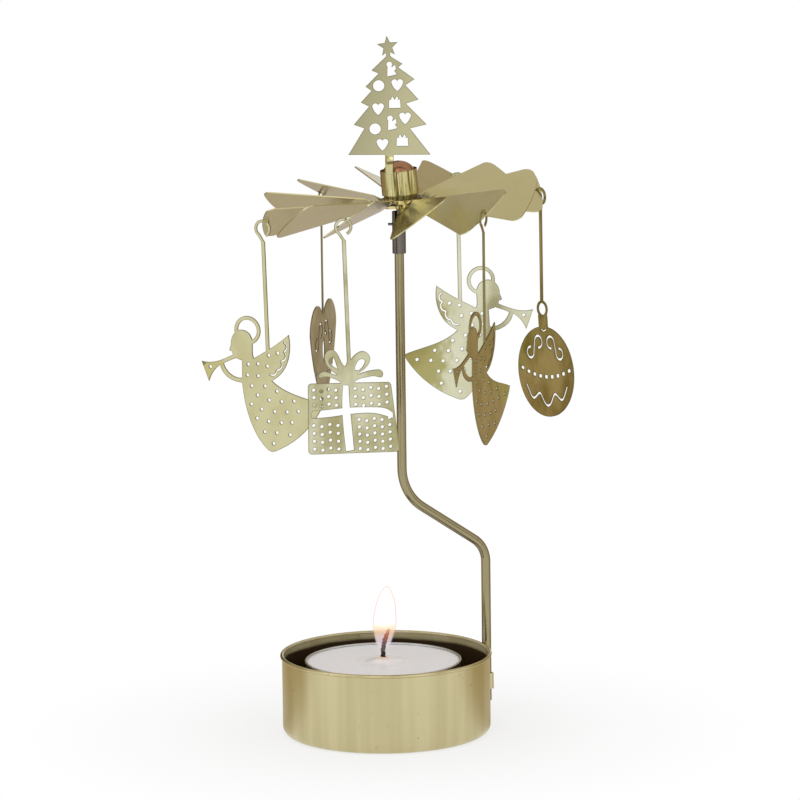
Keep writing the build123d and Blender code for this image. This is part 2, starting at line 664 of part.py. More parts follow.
def gift_figure():
    """A wrapped box: the ribbon is cut out as a cross, and a bow of two loops and two tails stands on top."""
    size = GIFT_HEIGHT
    box = make_face(Polyline(*scaled(GIFT_BOX_SHARES, size), close=True))
    box = fillet(box.vertices(), GIFT_CORNER)
    upright = outline(
        size,
        ((-0.076, -0.25), (-0.014, -0.254)),
        ((-0.014, -0.254), (-0.01, -0.5), (0.003, -0.739), (0.015, -0.972)),
        ((0.015, -0.972), (-0.073, -0.98)),
        ((-0.073, -0.98), (-0.09, -0.733), (-0.095, -0.5), (-0.076, -0.25)),
    )
    across = outline(
        size,
        ((-0.435, -0.51), (-0.263, -0.508), (-0.05, -0.5), (0.255, -0.515), (0.39, -0.542), (0.461, -0.596)),
        ((0.461, -0.596), (0.458, -0.65)),
        ((0.458, -0.65), (0.393, -0.624), (0.285, -0.587), (0.142, -0.57), (-0.05, -0.575), (-0.437, -0.586)),
        ((-0.437, -0.586), (-0.435, -0.51)),
    )
    figure = (box - upright - across) + make_face(Polyline(*scaled(GIFT_KNOT_SHARES, size), close=True))
    for loop, eye in zip(GIFT_LOOP_SHARES, GIFT_EYE_SHARES):
        figure += blob(size, loop) - blob(size, eye)
    for tail in GIFT_TAIL_SHARES:
        figure += blob(size, tail)
    for first, last, columns, rows in GIFT_DOT_GRIDS_SHARES:
        for x, y in dot_grid(size, first, last, columns, rows):
            figure -= Pos(x, y) * Circle(GIFT_DOT_R)
    return figure


SCROLL_SHARES = ((0.11, -0.46), 0.066, (0.262, -0.582), 0.06)
SCROLL_SWEEP = 285.0
DASH_ROW_SHARES = (0.42, -0.76, 0.085)
DASHES = 9
WAVE_SHARES = (
    (-0.37, -0.935), (-0.33, -1.005), (-0.25, -1.09), (-0.14, -1.03), (-0.07, -1.115), (0.0, -1.165),
)
VEE_SHARES = ((-0.052, -0.315), (0.0, -0.34), (0.052, -0.315))
BAUBLE_MIDDLE_SHARE = -0.787
BAUBLE_NECK_TOP_SHARE = -0.16


def scroll(size):
    """An S of two open curls, cut through the bauble beside its middle line."""
    (high_x, high_y), high_r, (low_x, low_y), low_r = SCROLL_SHARES
    high = CenterArc((high_x * size, high_y * size), high_r * size, SCROLL_SWEEP, -SCROLL_SWEEP)
    low = CenterArc((low_x * size, low_y * size), low_r * size, 180, SCROLL_SWEEP)
    return trace([high, Line(high @ 1, low @ 0), low], SCROLL_CUT)


def bauble_figure():
    """A round bauble with an eye and a cap, pierced with scrolls, a row of dashes and a wavy line."""
    size = BAUBLE_DIA
    middle = BAUBLE_MIDDLE_SHARE * size
    eye = Pos(0, -BAUBLE_EYE_R) * (Circle(BAUBLE_EYE_R) - Circle(BAUBLE_EYE_R - BAUBLE_EYE_BAND))
    neck_top = BAUBLE_NECK_TOP_SHARE * size
    neck_bottom = middle + size / 2 - SHEET
    neck = Pos(0, (neck_top + neck_bottom) / 2) * Rectangle(BAUBLE_NECK, neck_top - neck_bottom)
    figure = Pos(0, middle) * Circle(size / 2) + neck + eye
    figure -= mirrored(scroll(size))
    reach_share, row_share, sag_share = DASH_ROW_SHARES
    for index in range(DASHES):
        step = 2 * index / (DASHES - 1) - 1
        height = (row_share - sag_share * (1 - step**2)) * size
        slope = degrees(atan2(2 * sag_share * step, reach_share))
        figure -= Pos(step * reach_share * size, height) * Rot(0, 0, slope) * Rectangle(DASH_LONG, DASH_WIDE)
    wave = scaled(WAVE_SHARES, size)
    wave += [(-x, y) for x, y in reversed(wave[:-1])]
    figure -= trace(Spline(*wave), SCROLL_CUT)
    figure -= trace(Polyline(*scaled(VEE_SHARES, size)), SLIT_CUT)
    return Rot(0, 0, BAUBLE_LEAN) * figure


HEART_TOP_SHARE = 0.28
HEART_LENS_SHARES = ((0.0, 0.12), (0.045, 0.0), (0.0, -0.14))
HEART_LIFT_SHARE = 0.66
HEART_DROP_SHARE = 0.18
HEART_DASH_SHARES = (0.3, -0.02, 0.06)
HEART_DASHES = 7


def heart_figure():
    """A heart hung by its notch, pierced with a lens, two scrolls and a sagging row of dashes."""
    size = HEART_WIDTH
    figure = heart(size)
    lens = ThreePointArc(*scaled(HEART_LENS_SHARES, size))
    half_lens = make_face([lens, Line(lens @ 1, lens @ 0)])
    figure -= mirrored(half_lens)
    figure -= Pos(0, HEART_LIFT_SHARE * size) * mirrored(scroll(size))
    reach_share, row_share, sag_share = HEART_DASH_SHARES
    for index in range(HEART_DASHES):
        step = 2 * index / (HEART_DASHES - 1) - 1
        height = (row_share - sag_share * (1 - step**2)) * size - HEART_DROP_SHARE * size
        figure -= Pos(step * reach_share * size, height) * Rectangle(DASH_LONG, DASH_WIDE)
    return Pos(0, -HEART_TOP_SHARE * size) * figure


# Each charm: its vane, its turn about the upright and its lean in degrees, its figure and its stem
CHARMS = {
    "bauble_charm": (0, -54.0, 0.5, bauble_figure, BAUBLE_STEM),
    "angel_charm_back": (2, 10.0, 0.7, mirrored_angel, ANGEL_STEM),
    "heart_charm": (4, 76.0, 0.0, heart_figure, HEART_STEM),
    "angel_charm_left": (6, -26.7, 1.7, angel_figure, ANGEL_STEM),
    "gift_charm": (8, 10.0, 1.6, gift_figure, GIFT_STEM),
    "angel_charm_front": (10, 65.0, 0.0, angel_figure, ANGEL_STEM),
}
LEAST_CHORD_SHARE = 0.75


def hook_centre(index, facing):
    """Where a hook's ring settles: it goes through the vane's hole and round the strip outside it."""
    frame = WHEEL * vane_frame(index) * Pos(HANG_R, 0, 0)
    outwards, vane_normal = frame.x_axis.direction, frame.z_axis.direction
    crossing = vane_normal.cross(facing)
    along = crossing.normalized()
    if along.dot(outwards) < 0:
        along = -along
    slope = along.dot(outwards)
    half_cut = SHEET / 2 * (1 + abs(vane_normal.dot(facing))) / crossing.length
    reach = (HANG_INSET + HOOK_GAP + half_cut * sqrt(1 - slope**2)) / slope
    hole_end = sqrt((HANG_HOLE_R - HOOK_GAP) ** 2 - half_cut**2)
    inner_half = max((reach - hole_end) / 2, LEAST_CHORD_SHARE * RING_IN_R)
    drop = sqrt(RING_IN_R**2 - inner_half**2) - half_cut
    outer_half = sqrt(RING_OUT_R**2 - (drop - half_cut) ** 2)
    middle = max(reach - inner_half, outer_half - hole_end)
    upwards = facing.cross(along)
    if upwards.Z < 0:
        upwards = -upwards
    return frame.position + along * middle - upwards * drop


def charm(name):
    """A charm hung on its vane as photographed; it prints what its swing joint needs."""
    index, turn, lean, figure, stem = CHARMS[name]
    piece = sheet(charm_sheet(figure(), stem))
    weight = piece.center(CenterOf.MASS)
    facing = Vector(0, -1, 0).rotate(Axis.Z, turn)
    level = Vector(1, 0, 0).rotate(Axis.Z, turn)
    plane = Plane(origin=hook_centre(index, facing), x_dir=level, z_dir=facing)
    print(name, tuple(plane.origin), tuple(facing), "hangs plumb at", degrees(atan2(-weight.X, -weight.Y)))
    return plane * Rot(0, 0, lean) * piece


# Tealight


def in_tin(shape):
    """Moves a tealight piece made about the Z axis to where the tealight stands on the tin's floor."""
    return Pos(-TEALIGHT_SHIFT, 0, TIN_WALL) * shape


def tealight_cup():
    """Thin aluminium cup with a rolled rim."""
    body_r = TEALIGHT_DIA / 2 - TEALIGHT_RIM
    height = TEALIGHT_HEIGHT - TEALIGHT_RIM
    body = rod(body_r, 0, height) - rod(body_r - TEALIGHT_WALL, TEALIGHT_WALL, height)
    rim = revolve(Plane.XZ * Pos(body_r, height) * Circle(TEALIGHT_RIM), Axis.Z)
    return in_tin(body + rim)


def wax_level():
    return TEALIGHT_HEIGHT - WAX_BELOW_RIM


def wick_path():
    """The wick stands up out of its sustainer and leans over at the top."""
    start = TEALIGHT_WALL + 2 * SUSTAINER_SHEET
    top = wax_level() + WAX_RISE + WICK_HEIGHT
    bend = top - WICK_HEIGHT * WICK_BEND_SHARE
    through = ((0, 0, bend), (WICK_BEND / 3, 0, (bend + top) / 2), (WICK_BEND, 0, top))
    return Spline(*through, tangents=[(0, 0, 1), (1, 0, 2)]), start, bend


def wick():
    path, start, bend = wick_path()
    upper = sweep(Plane(origin=(0, 0, bend), z_dir=(0, 0, 1)) * Circle(WICK_DIA / 2), path=path)
    return in_tin(rod(WICK_DIA / 2, start, bend - start) + upper)


def wick_sustainer():
    """Small steel plate under the wick, with a neck crimped round it."""
    bottom = TEALIGHT_WALL + FIT
    plate = rod(SUSTAINER_DIA / 2, bottom, SUSTAINER_SHEET)
    neck_r = WICK_DIA / 2 + FIT + SUSTAINER_NECK_WALL
    neck = rod(neck_r, bottom, SUSTAINER_NECK)
    return in_tin(plate + neck - rod(WICK_DIA / 2 + FIT, bottom + SUSTAINER_SHEET, SUSTAINER_NECK))


def wax():
    """Wax fill, risen a little round the wick, with room for the sustainer."""
    wax_r = TEALIGHT_DIA / 2 - TEALIGHT_RIM - TEALIGHT_WALL - FIT
    bottom = TEALIGHT_WALL + FIT
    level = wax_level()
    rise_r = WAX_RISE_DIA / 2
    wick_r = WICK_DIA / 2 + FIT
    neck_r = WICK_DIA / 2 + 2 * FIT + SUSTAINER_NECK_WALL
    slope = Spline((rise_r, level), ((rise_r + wick_r) / 2, level + WAX_RISE / 3), (wick_r, level + WAX_RISE))
    face = make_face(
        [
            Line((wick_r, bottom), (wax_r, bottom)),
            Line((wax_r, bottom), (wax_r, level)),
            Line((wax_r, level), (rise_r, level)),
            slope,
            Line((wick_r, level + WAX_RISE), (wick_r, bottom)),
        ]
    )
    body = revolve(Plane.XZ * face, Axis.Z)
    body -= rod(SUSTAINER_DIA / 2 + FIT, 0, bottom + SUSTAINER_SHEET + FIT)
    body -= rod(neck_r, 0, bottom + SUSTAINER_NECK + FIT)
    return in_tin(body)


def main():
    os.makedirs("parts", exist_ok=True)
    pieces = {
        "tin_cup": tin_cup(),
        "pole": pole(),
        "pole_ferrule": pole_ferrule(),
        "ferrule_pin": ferrule_pin(),
        "pivot_needle": pivot_needle(),
        "vane_wheel": vane_wheel(),
        "hub_cap": hub_cap(),
        "hub_washer": hub_washer(),
        "pivot_jewel": pivot_jewel(),
        "tree_topper": tree_topper(),
        "tealight_cup": tealight_cup(),
        "wax": wax(),
        "wick": wick(),
        "wick_sustainer": wick_sustainer(),
    }
    for name in CHARMS:
        pieces[name] = charm(name)
    for name, shape in pieces.items():
        export_step(shape, f"parts/{name}.step")


if __name__ == "__main__":
    main()
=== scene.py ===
"""Angel chime carousel: finishes, wick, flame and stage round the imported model, laid out as an add-on."""

import math

import bmesh
import bpy
from mathutils import Matrix, Vector


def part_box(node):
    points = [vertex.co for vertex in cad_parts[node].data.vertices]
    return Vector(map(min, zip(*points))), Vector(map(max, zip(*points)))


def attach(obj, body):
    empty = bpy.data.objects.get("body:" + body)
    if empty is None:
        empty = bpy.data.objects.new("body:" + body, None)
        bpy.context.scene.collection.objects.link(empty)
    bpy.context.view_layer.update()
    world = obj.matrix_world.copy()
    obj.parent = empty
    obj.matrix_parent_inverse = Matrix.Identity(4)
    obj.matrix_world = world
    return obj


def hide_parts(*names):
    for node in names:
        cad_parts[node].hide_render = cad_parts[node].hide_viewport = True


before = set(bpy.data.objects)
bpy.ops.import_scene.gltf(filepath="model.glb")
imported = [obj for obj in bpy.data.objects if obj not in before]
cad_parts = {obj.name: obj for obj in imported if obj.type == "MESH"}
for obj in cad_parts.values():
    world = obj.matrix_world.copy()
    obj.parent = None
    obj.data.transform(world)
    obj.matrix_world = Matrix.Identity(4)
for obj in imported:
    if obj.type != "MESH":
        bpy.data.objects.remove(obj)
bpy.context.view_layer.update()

bl_info = {
    "name": "Angel Chime Carousel",
    "version": (1, 0, 0),
    "blender": (4, 5, 0),
    "location": "3D View > Sidebar > Carousel",
    "description": "Gives the packed carousel its brass, steel and wax finishes, its wick, flame and stage",
    "category": "Object",
}

MM = 0.001

# How much of each channel a warmth of one takes away
WARMTH_LOSS = (0.0, 0.15, 1.0)
# Dull marks on brass: their warmth, and how soft the edge of a speck is
MARK_WARMTH = 0.3
SPECK_EDGE = 0.06
# The darker rim of a sheet's faces: its reach from a cut edge, the openness over which it ends, and its
# samples
RIM_REACH = 0.26 * MM
RIM_OPENNESS = (0.6, 0.95)
RIM_SAMPLES = 6
# How squarely a face has to look out of its sheet not to count as a cut edge
CUT_FACING = (0.4, 0.85)


# Shader maths


class Signal:
    """A socket's value; arithmetic on it adds Math nodes to its tree."""

    def __init__(self, finish, socket):
        self.finish = finish
        self.socket = socket

    def maths(self, operation, *values):
        inputs = dict(enumerate(values))
        return self.finish.node("ShaderNodeMath", {"operation": operation}, inputs)

    def __add__(self, other):
        return self.maths("ADD", self, other)

    __radd__ = __add__

    def __sub__(self, other):
        return self.maths("SUBTRACT", self, other)

    def __rsub__(self, other):
        return self.maths("SUBTRACT", other, self)

    def __mul__(self, other):
        return self.maths("MULTIPLY", self, other)

    __rmul__ = __mul__

    def __truediv__(self, other):
        return self.maths("DIVIDE", self, other)

    def __abs__(self):
        return self.maths("ABSOLUTE", self)

    def spread(self, reach):
        """A noise moved to lie about zero, half a reach to either side."""
        return (self - 0.5) * reach


class Finish:
    """A node tree under construction; `node` makes any node from its type, options and inputs.

    A colour ramp's stops, each a place and a colour, are one of its options.
    """

    def __init__(self, tree):
        self.tree = tree

    def node(self, kind, options=None, inputs=None, output=0):
        made = self.tree.nodes.new(kind)
        for name, value in (options or {}).items():
            if name == "stops":
                ramp = made.color_ramp
                while len(ramp.elements) < len(value):
                    ramp.elements.new(1.0)
                for element, (place, colour) in zip(ramp.elements, value):
                    element.position = place
                    element.color = (*colour, 1.0)
            else:
                setattr(made, name, value)
        for name, value in (inputs or {}).items():
            self.feed(made.inputs[name], value)
        return Signal(self, made.outputs[output]) if made.outputs else None

    def feed(self, socket, value):
        """Links a signal to a socket, or sets the socket's own value."""
        if isinstance(value, Signal):
            self.tree.links.new(value.socket, socket)
        elif hasattr(value, "__len__") and len(value) == 3 and socket.type == "RGBA":
            socket.default_value = (*value, 1.0)
        else:
            socket.default_value = value

    # Colours

    def mix(self, share, first, second):
        """Two colours mixed by a share."""
        inputs = {0: share, 6: first, 7: second}
        return self.node("ShaderNodeMix", {"data_type": "RGBA"}, inputs, output=2)

    def marked(self, mask, shade, colour, darkness):
        """A shade with dull marks of a sheet's colour where the mask is."""
        return self.mix(mask, shade, tinted(colour, darkness, MARK_WARMTH))

    # Numbers

    def ease(self, value, start, end, low=0.0, high=1.0):
        """A smooth step of a value from low at start to high at end."""
        inputs = {"Value": value, "From Min": start, "From Max": end, "To Min": low, "To Max": high}
        return self.node("ShaderNodeMapRange", {"interpolation_type": "SMOOTHSTEP"}, inputs)

    def fade(self, value, start, end):
        """A smooth step of a value from one at start to none at end."""
        return self.ease(value, start, end, 1.0, 0.0)

    def angle(self, across, along):
        """The angle whose tangent is across over along."""
        return self.node("ShaderNodeMath", {"operation": "ARCTAN2"}, {0: across, 1: along})

    # Vectors

    def place(self, output="Object"):
        """A texture coordinate: the object's own, unless another is asked for."""
        return self.node("ShaderNodeTexCoord", output=output)

    def axes(self, vector):
        """The three numbers of a vector."""
        split = self.node("ShaderNodeSeparateXYZ", None, {0: vector})
        return [Signal(self, socket) for socket in split.socket.node.outputs]

    def combined(self, x, y, z=0.0):
        """The vector of three numbers."""
        return self.node("ShaderNodeCombineXYZ", None, {0: x, 1: y, 2: z})

    def vector(self, operation, first, second=(0, 0, 0), output="Value"):
        """What an operation makes of one vector or two."""
        options = {"operation": operation}
        return self.node("ShaderNodeVectorMath", options, {0: first, 1: second}, output)

    # Textures

    def noise(self, vector, detail, roughness=0.5):
        """Noise at a vector, with cells of unit size."""
        inputs = {"Vector": vector, "Scale": 1.0, "Detail": detail, "Roughness": roughness}
        return self.node("ShaderNodeTexNoise", None, inputs)

    def grain(self, size, turn=0.0, detail=3.0, roughness=0.5):
        """Noise of a size in millimetres along each axis, turned about the upright by degrees."""
        inputs = {
            "Vector": self.place(),
            "Rotation": (0, 0, math.radians(turn)),
            "Scale": [MM * part for part in size],
        }
        mapped = self.node("ShaderNodeMapping", {"vector_type": "TEXTURE"}, inputs)
        return self.noise(mapped, detail, roughness)

    def specks(self, size, start, turn=0.0):
        """A mask of sparse specks; a higher start leaves fewer of them."""
        return self.ease(self.grain((size, size, size), turn, detail=1.0), start, start + SPECK_EDGE)

    def cut_edge(self, straight):
        """A mask of the faces that don't look straight out of a sheet."""
        facing = self.vector("DOT_PRODUCT", self.place("Normal"), straight)
        return 1 - self.ease(abs(facing), *CUT_FACING)

    def rim(self):
        """A mask of a thin sheet's faces beside their cut edges."""
        options = {"inside": True, "only_local": True, "samples": RIM_SAMPLES}
        inputs = {"Color": (1, 1, 1), "Distance": RIM_REACH}
        openness = self.node("ShaderNodeAmbientOcclusion", options, inputs, output="AO")
        return self.fade(openness, *RIM_OPENNESS)

    def bump(self, height, strength, distance):
        """The normal of a surface raised by a height."""
        inputs = {"Height": height, "Strength": strength, "Distance": distance}
        return self.node("ShaderNodeBump", None, inputs)


def new_finish(name, **constants):
    """A material with its Finish and its shader's sockets; constants go on the sockets of their names."""
    material = bpy.data.materials.new(name)
    material.use_nodes = True
    finish = Finish(material.node_tree)
    shader = material.node_tree.nodes["Principled BSDF"]
    for socket, value in constants.items():
        finish.feed(shader.inputs[socket.replace("_", " ")], value)
    return material, finish, shader.inputs


def empty_finish(tree):
    """A Finish on a tree cleared of the nodes it starts with."""
    tree.nodes.clear()
    return Finish(tree)


def tinted(colour, share, warmth=0.0):
    """A colour made darker or brighter, and yellower by a warmth."""
    return [min(1.0, part * share * (1 - warmth * loss)) for part, loss in zip(colour, WARMTH_LOSS)]


def dress(name, material):
    """Gives a CAD node its material."""
    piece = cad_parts[name]
    piece.data.materials.clear()
    piece.data.materials.append(material)


# Mesh helpers


def new_piece(name, bm, material, body, smooth=True):
    """Turns a bmesh into a piece, which rides on a body if it has one."""
    mesh = bpy.data.meshes.new(name)
    bmesh.ops.recalc_face_normals(bm, faces=bm.faces)
    bm.to_mesh(mesh)
    bm.free()
    for face in mesh.polygons:
        face.use_smooth = smooth
    mesh.materials.append(material)
    piece = bpy.data.objects.new(name, mesh)
    bpy.context.scene.collection.objects.link(piece)
    if body:
        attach(piece, body)
    return piece


def spun(bm, profile, steps):
    """Spins a profile of (radius, height) pairs once round the Z axis."""
    verts = [bm.verts.new((radius, 0, height)) for radius, height in profile]
    edges = [bm.edges.new(pair) for pair in zip(verts, verts[1:])]
    bmesh.ops.spin(
        bm,
        geom=verts + edges,
        cent=(0, 0, 0),
        axis=(0, 0, 1),
        angle=math.tau,
        steps=steps,
        use_merge=True,
    )
    bmesh.ops.remove_doubles(bm, verts=bm.verts, dist=1e-7)


def strand(bm, stations, sides):
    """A closed tube through stations, each a place matrix and a radius."""
    loops = []
    for place, radius in stations:
        made = bmesh.ops.create_circle(bm, segments=sides, radius=radius, matrix=place)
        loops.append(list({edge for vert in made["verts"] for edge in vert.link_edges}))
    for first, second in zip(loops, loops[1:]):
        bmesh.ops.bridge_loops(bm, edges=first + second)
    for loop in (loops[0], loops[-1]):
        bmesh.ops.edgeloop_fill(bm, edges=loop)


# Sizes and colours that a user would change


class CarouselSettings(bpy.types.PropertyGroup):
    sheet_colour: bpy.props.FloatVectorProperty(
        name="Sheet brass",
        description="Colour of the stamped sheet",
        subtype="COLOR",
        size=3,
        default=(0.62, 0.57, 0.34),
    )
    tin_colour: bpy.props.FloatVectorProperty(
        name="Tin brass",
        description="Colour of the tin",
        subtype="COLOR",
        size=3,
        default=(0.605, 0.525, 0.31),
    )
    wire_colour: bpy.props.FloatVectorProperty(
        name="Wire brass",
        description="Colour of the pole's wire",
        subtype="COLOR",
        size=3,
        default=(0.35, 0.3, 0.175),
    )
    cap_colour: bpy.props.FloatVectorProperty(
        name="Cap gold",
        description="Colour of the cap's sides",
        subtype="COLOR",
        size=3,
        default=(0.72, 0.6, 0.29),
    )
    dome_colour: bpy.props.FloatVectorProperty(
        name="Dome copper",
        description="Heat tint on the cap's dome",
        subtype="COLOR",
        size=3,
        default=(0.42, 0.21, 0.12),
    )
    steel_colour: bpy.props.FloatVectorProperty(
        name="Steel",
        description="Colour of the ferrule and needle",
        subtype="COLOR",
        size=3,
        default=(0.21, 0.19, 0.165),
    )
    wax_colour: bpy.props.FloatVectorProperty(
        name="Wax",
        description="Colour of the wax",
        subtype="COLOR",
        size=3,
        default=(0.92, 0.89, 0.9),
    )
    flame_height: bpy.props.FloatProperty(
        name="Flame height",
        description="From the flame's foot to its tip",
        unit="LENGTH",
        default=16.0 * MM,
    )
    flame_width: bpy.props.FloatProperty(
        name="Flame width",
        description="Across the flame's widest part",
        unit="LENGTH",
        default=5.4 * MM,
    )
    floor_radius: bpy.props.FloatProperty(
        name="Floor radius",
        description="Reach of the floor",
        unit="LENGTH",
        default=8.0,
    )
    camera_distance: bpy.props.FloatProperty(
        name="Camera distance",
        description="From the camera to its aim",
        unit="LENGTH",
        default=1576.8 * MM,
    )
    camera_elevation: bpy.props.FloatProperty(
        name="Camera elevation",
        description="Angle of the view above the horizon",
        subtype="ANGLE",
        default=math.radians(10.27),
    )


def settings():
    """The scene's carousel settings."""
    return bpy.context.scene.carousel


# Tin

TIN_ROUGHNESS = 0.2
# Where the inside starts: in from the outermost reach of the wall, and up from the foot
TIN_WALL = (0.75 * MM, 0.6 * MM)
TIN_FLOOR = (2.3 * MM, 2.6 * MM)
# Where the painted shade inside the tin ends, down from the rim's top
INNER_SHADE_TOP = (2.4 * MM, 1.5 * MM)
INNER_SHADE_COLOUR = (0.045, 0.024, 0.008)
# The wall's streaks, partly drawn lines and partly painted reflection streaks: noise cells to a radian round
# it and to a metre up it, and where their two shades meet
STREAKS_ROUND = 4.5
STREAKS_UP = 8
STREAK_EDGE = (0.35, 0.65)


class CAROUSEL_OT_tin(bpy.types.Operator):
    """Finish the tin cup"""

    bl_idname = "carousel.tin"
    bl_label = "Tin"

    def execute(self, context):
        dress("tin_cup", tin_brass(settings().tin_colour, *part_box("tin_cup")))
        return {"FINISHED"}


def tin_brass(colour, low, high):
    """The tin's drawn wall: soft upright streaks that are partly painted reflection, small pits, and painted
    shade inside below a bright rim.
    """
    material, finish, shader = new_finish("tin_brass")
    x, y, z = finish.axes(finish.place())
    azimuth = finish.angle(x, y * -1)
    streaks = finish.noise(finish.combined(azimuth * STREAKS_ROUND, 0.0, z * STREAKS_UP), detail=2.0)
    cloud = finish.grain((10.0, 10.0, 6.0))
    pits = finish.specks(0.8, 0.75)
    # Upright streaks in the colour: partly drawn lines, partly painted reflection streaks
    shade = finish.mix(finish.ease(streaks, *STREAK_EDGE), tinted(colour, 0.9, 0.08), tinted(colour, 1.05))
    shade = finish.mix(cloud * 0.25, shade, tinted(colour, 0.9, 0.1))
    shade = finish.marked(pits * 0.7, shade, colour, 0.3)
    across = finish.vector("LENGTH", finish.combined(x, y))
    inner = finish.fade(across, *(high.y - inwards for inwards in TIN_WALL))
    inner = inner * finish.ease(z, *(low.z + upwards for upwards in TIN_FLOOR))
    # Painted shade: the inside wall goes dark below the rim
    inner_shade = inner * finish.fade(z + cloud.spread(0.8 * MM), *(high.z - down for down in INNER_SHADE_TOP))
    finish.feed(shader["Base Color"], finish.mix(inner_shade, shade, INNER_SHADE_COLOUR))
    finish.feed(shader["Metallic"], 1 - inner * 0.75)
    finish.feed(shader["Roughness"], TIN_ROUGHNESS + streaks * 0.05 + inner_shade * 0.15)
    finish.feed(shader["Normal"], finish.bump(cloud, 0.3, 0.1 * MM))
    return material


# Pole

WIRE_ROUGHNESS = 0.12
# Sizes of the drawn lines in millimetres along each axis
WIRE_LINES = (0.5, 0.5, 25.0)
STEEL_ROUGHNESS = 0.25


class CAROUSEL_OT_pole(bpy.types.Operator):
    """Finish the pole, its ferrule, cross pin and needle"""

    bl_idname = "carousel.pole"
    bl_label = "Pole"

    def execute(self, context):
        wire = turned_brass("wire_brass", settings().wire_colour, WIRE_ROUGHNESS, WIRE_LINES)
        dress("pole", wire)
        dull = steel("ferrule_steel", settings().steel_colour, STEEL_ROUGHNESS)
        for name in ("pole_ferrule", "ferrule_pin", "pivot_needle"):
            dress(name, dull)
        return {"FINISHED"}


def turned_brass(name, colour, roughness, lines):
    """Brass with fine lines round or along the piece, where their size is small or large."""
    material, finish, shader = new_finish(name, Metallic=1.0)
    drawn = finish.grain(lines)
    cloud = finish.grain((7.0, 7.0, 7.0), detail=2.0)
    finish.feed(shader["Base Color"], finish.mix(cloud, tinted(colour, 0.9), tinted(colour, 1.08)))
    finish.feed(shader["Roughness"], roughness + drawn * 0.08 + cloud * 0.05)
    finish.feed(shader["Normal"], finish.bump(drawn, 0.05, 0.02 * MM))
    return material


def steel(name, colour, roughness):
    """Drawn grey metal with darker stains."""
    material, finish, shader = new_finish(name, Metallic=1.0)
    drawn = finish.grain((0.5, 0.5, 6.0))
    stain = finish.grain((2.5, 2.5, 3.5))
    finish.feed(shader["Base Color"], finish.mix(stain, tinted(colour, 0.75), colour))
    finish.feed(shader["Roughness"], roughness + drawn * 0.15)
    finish.feed(shader["Normal"], finish.bump(drawn, 0.1, 0.02 * MM))
    return material


# Wheel

WASHER_ROUGHNESS = 0.1
WASHER_LINES = (6.0, 6.0, 0.5)
# How far from the hub the vanes are burnished with a painted darker reflection, and how far their necks get
# painted fold shade
HUB_BURNISH_AND_REFLECTION_TO = (10 * MM, 17 * MM)
NECK_TO = (6.5 * MM, 10 * MM)
# The front vane, with a painted bright reflection and painted fold shade along most of its length: azimuth,
# half angle, where its fold shade fades and to what
FRONT_VANE_AZIMUTH = 0.06
FRONT_VANE_HALF = (0.2, 0.27)
FRONT_VANE_TO = (20 * MM, 32 * MM)
FRONT_VANE_END = 0.3
# The painted fold shade: noise cells to a radian round the hub and to a metre outwards, and where a dark fold
# begins
FOLD_SHADE_ROUND = 8
FOLD_SHADE_OUT = 35
FOLD_SHADE_EDGE = (0.44, 0.53)
# The cap's gap above its flange, darkened with painted shade, with its half height
CAP_GAP = 3.05 * MM
CAP_GAP_HALF = (0.5 * MM, 0.9 * MM)
# Between which shares of the cap's height the heat tint sets in
CAP_HEAT = (0.66, 0.82)


class CAROUSEL_OT_wheel(bpy.types.Operator):
    """Finish the vane wheel and its hub"""

    bl_idname = "carousel.wheel"
    bl_label = "Wheel"

    def execute(self, context):
        low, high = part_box("hub_washer")
        dress("vane_wheel", vane_brass(settings().sheet_colour, (low + high) / 2))
        low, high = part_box("hub_cap")
        cap = cap_finish(low.z, high.z, settings().cap_colour, settings().dome_colour)
        dress("hub_cap", cap)
        ring = turned_brass("washer_brass", settings().cap_colour, WASHER_ROUGHNESS, WASHER_LINES)
        for name in ("hub_washer", "pivot_jewel"):
            dress(name, ring)
        return {"FINISHED"}


def vane_brass(colour, hub):
    """The wheel's sheet: satin, slightly wavy, specked, burnished at the hub with a painted darker reflection
    there, a painted bright reflection on the front vane, and painted fold shade at the necks and along the
    front vane.
    """
    material, finish, shader = new_finish("vane_brass", Metallic=1.0)
    x, y, _ = finish.axes(finish.place())
    wave = finish.grain((11.0, 11.0, 11.0), detail=1.0)
    crease = finish.grain((2.6, 2.6, 2.6), detail=1.0)
    cloud = finish.grain((9.0, 9.0, 9.0), roughness=0.6)
    away = finish.vector("DISTANCE", finish.place(), hub)
    azimuth = finish.angle(x - hub.x, hub.y - y)
    fold_shade_noise = finish.noise(finish.combined(azimuth * FOLD_SHADE_ROUND, away * FOLD_SHADE_OUT), detail=2.0)
    twist = finish.fade(away, *HUB_BURNISH_AND_REFLECTION_TO)
    front = finish.fade(abs(azimuth - FRONT_VANE_AZIMUTH), *FRONT_VANE_HALF)
    front = front * finish.ease(away, *FRONT_VANE_TO, 1.0, FRONT_VANE_END)
    fold_shade_reach = front + (1 - front) * finish.fade(away, *NECK_TO)
    shade = finish.mix(cloud, tinted(colour, 0.9, 0.1), tinted(colour, 1.06))
    # Painted darker reflection near the hub; the same mask makes the burnished hub smoother
    shade = finish.mix(twist * 0.5, shade, tinted(colour, 0.85, 0.35))
    # Painted bright reflection on the front vane
    shade = finish.mix(front * 0.6, shade, tinted(colour, 1.2, 0.4))
    # Painted fold shade: dark brown marks at the necks and along the front vane
    shade = finish.mix(finish.ease(fold_shade_noise, *FOLD_SHADE_EDGE) * fold_shade_reach * 0.85, shade, tinted(colour, 0.16, 0.5))
    shade = finish.marked(finish.specks(0.7, 0.75) * 0.5, shade, colour, 0.4)
    finish.feed(shader["Base Color"], shade)
    finish.feed(shader["Roughness"], 0.2 + cloud * 0.06 - twist * 0.14)
    finish.feed(shader["Normal"], finish.bump(wave + crease * twist * 0.7, 0.5, 0.3 * MM))
    return material


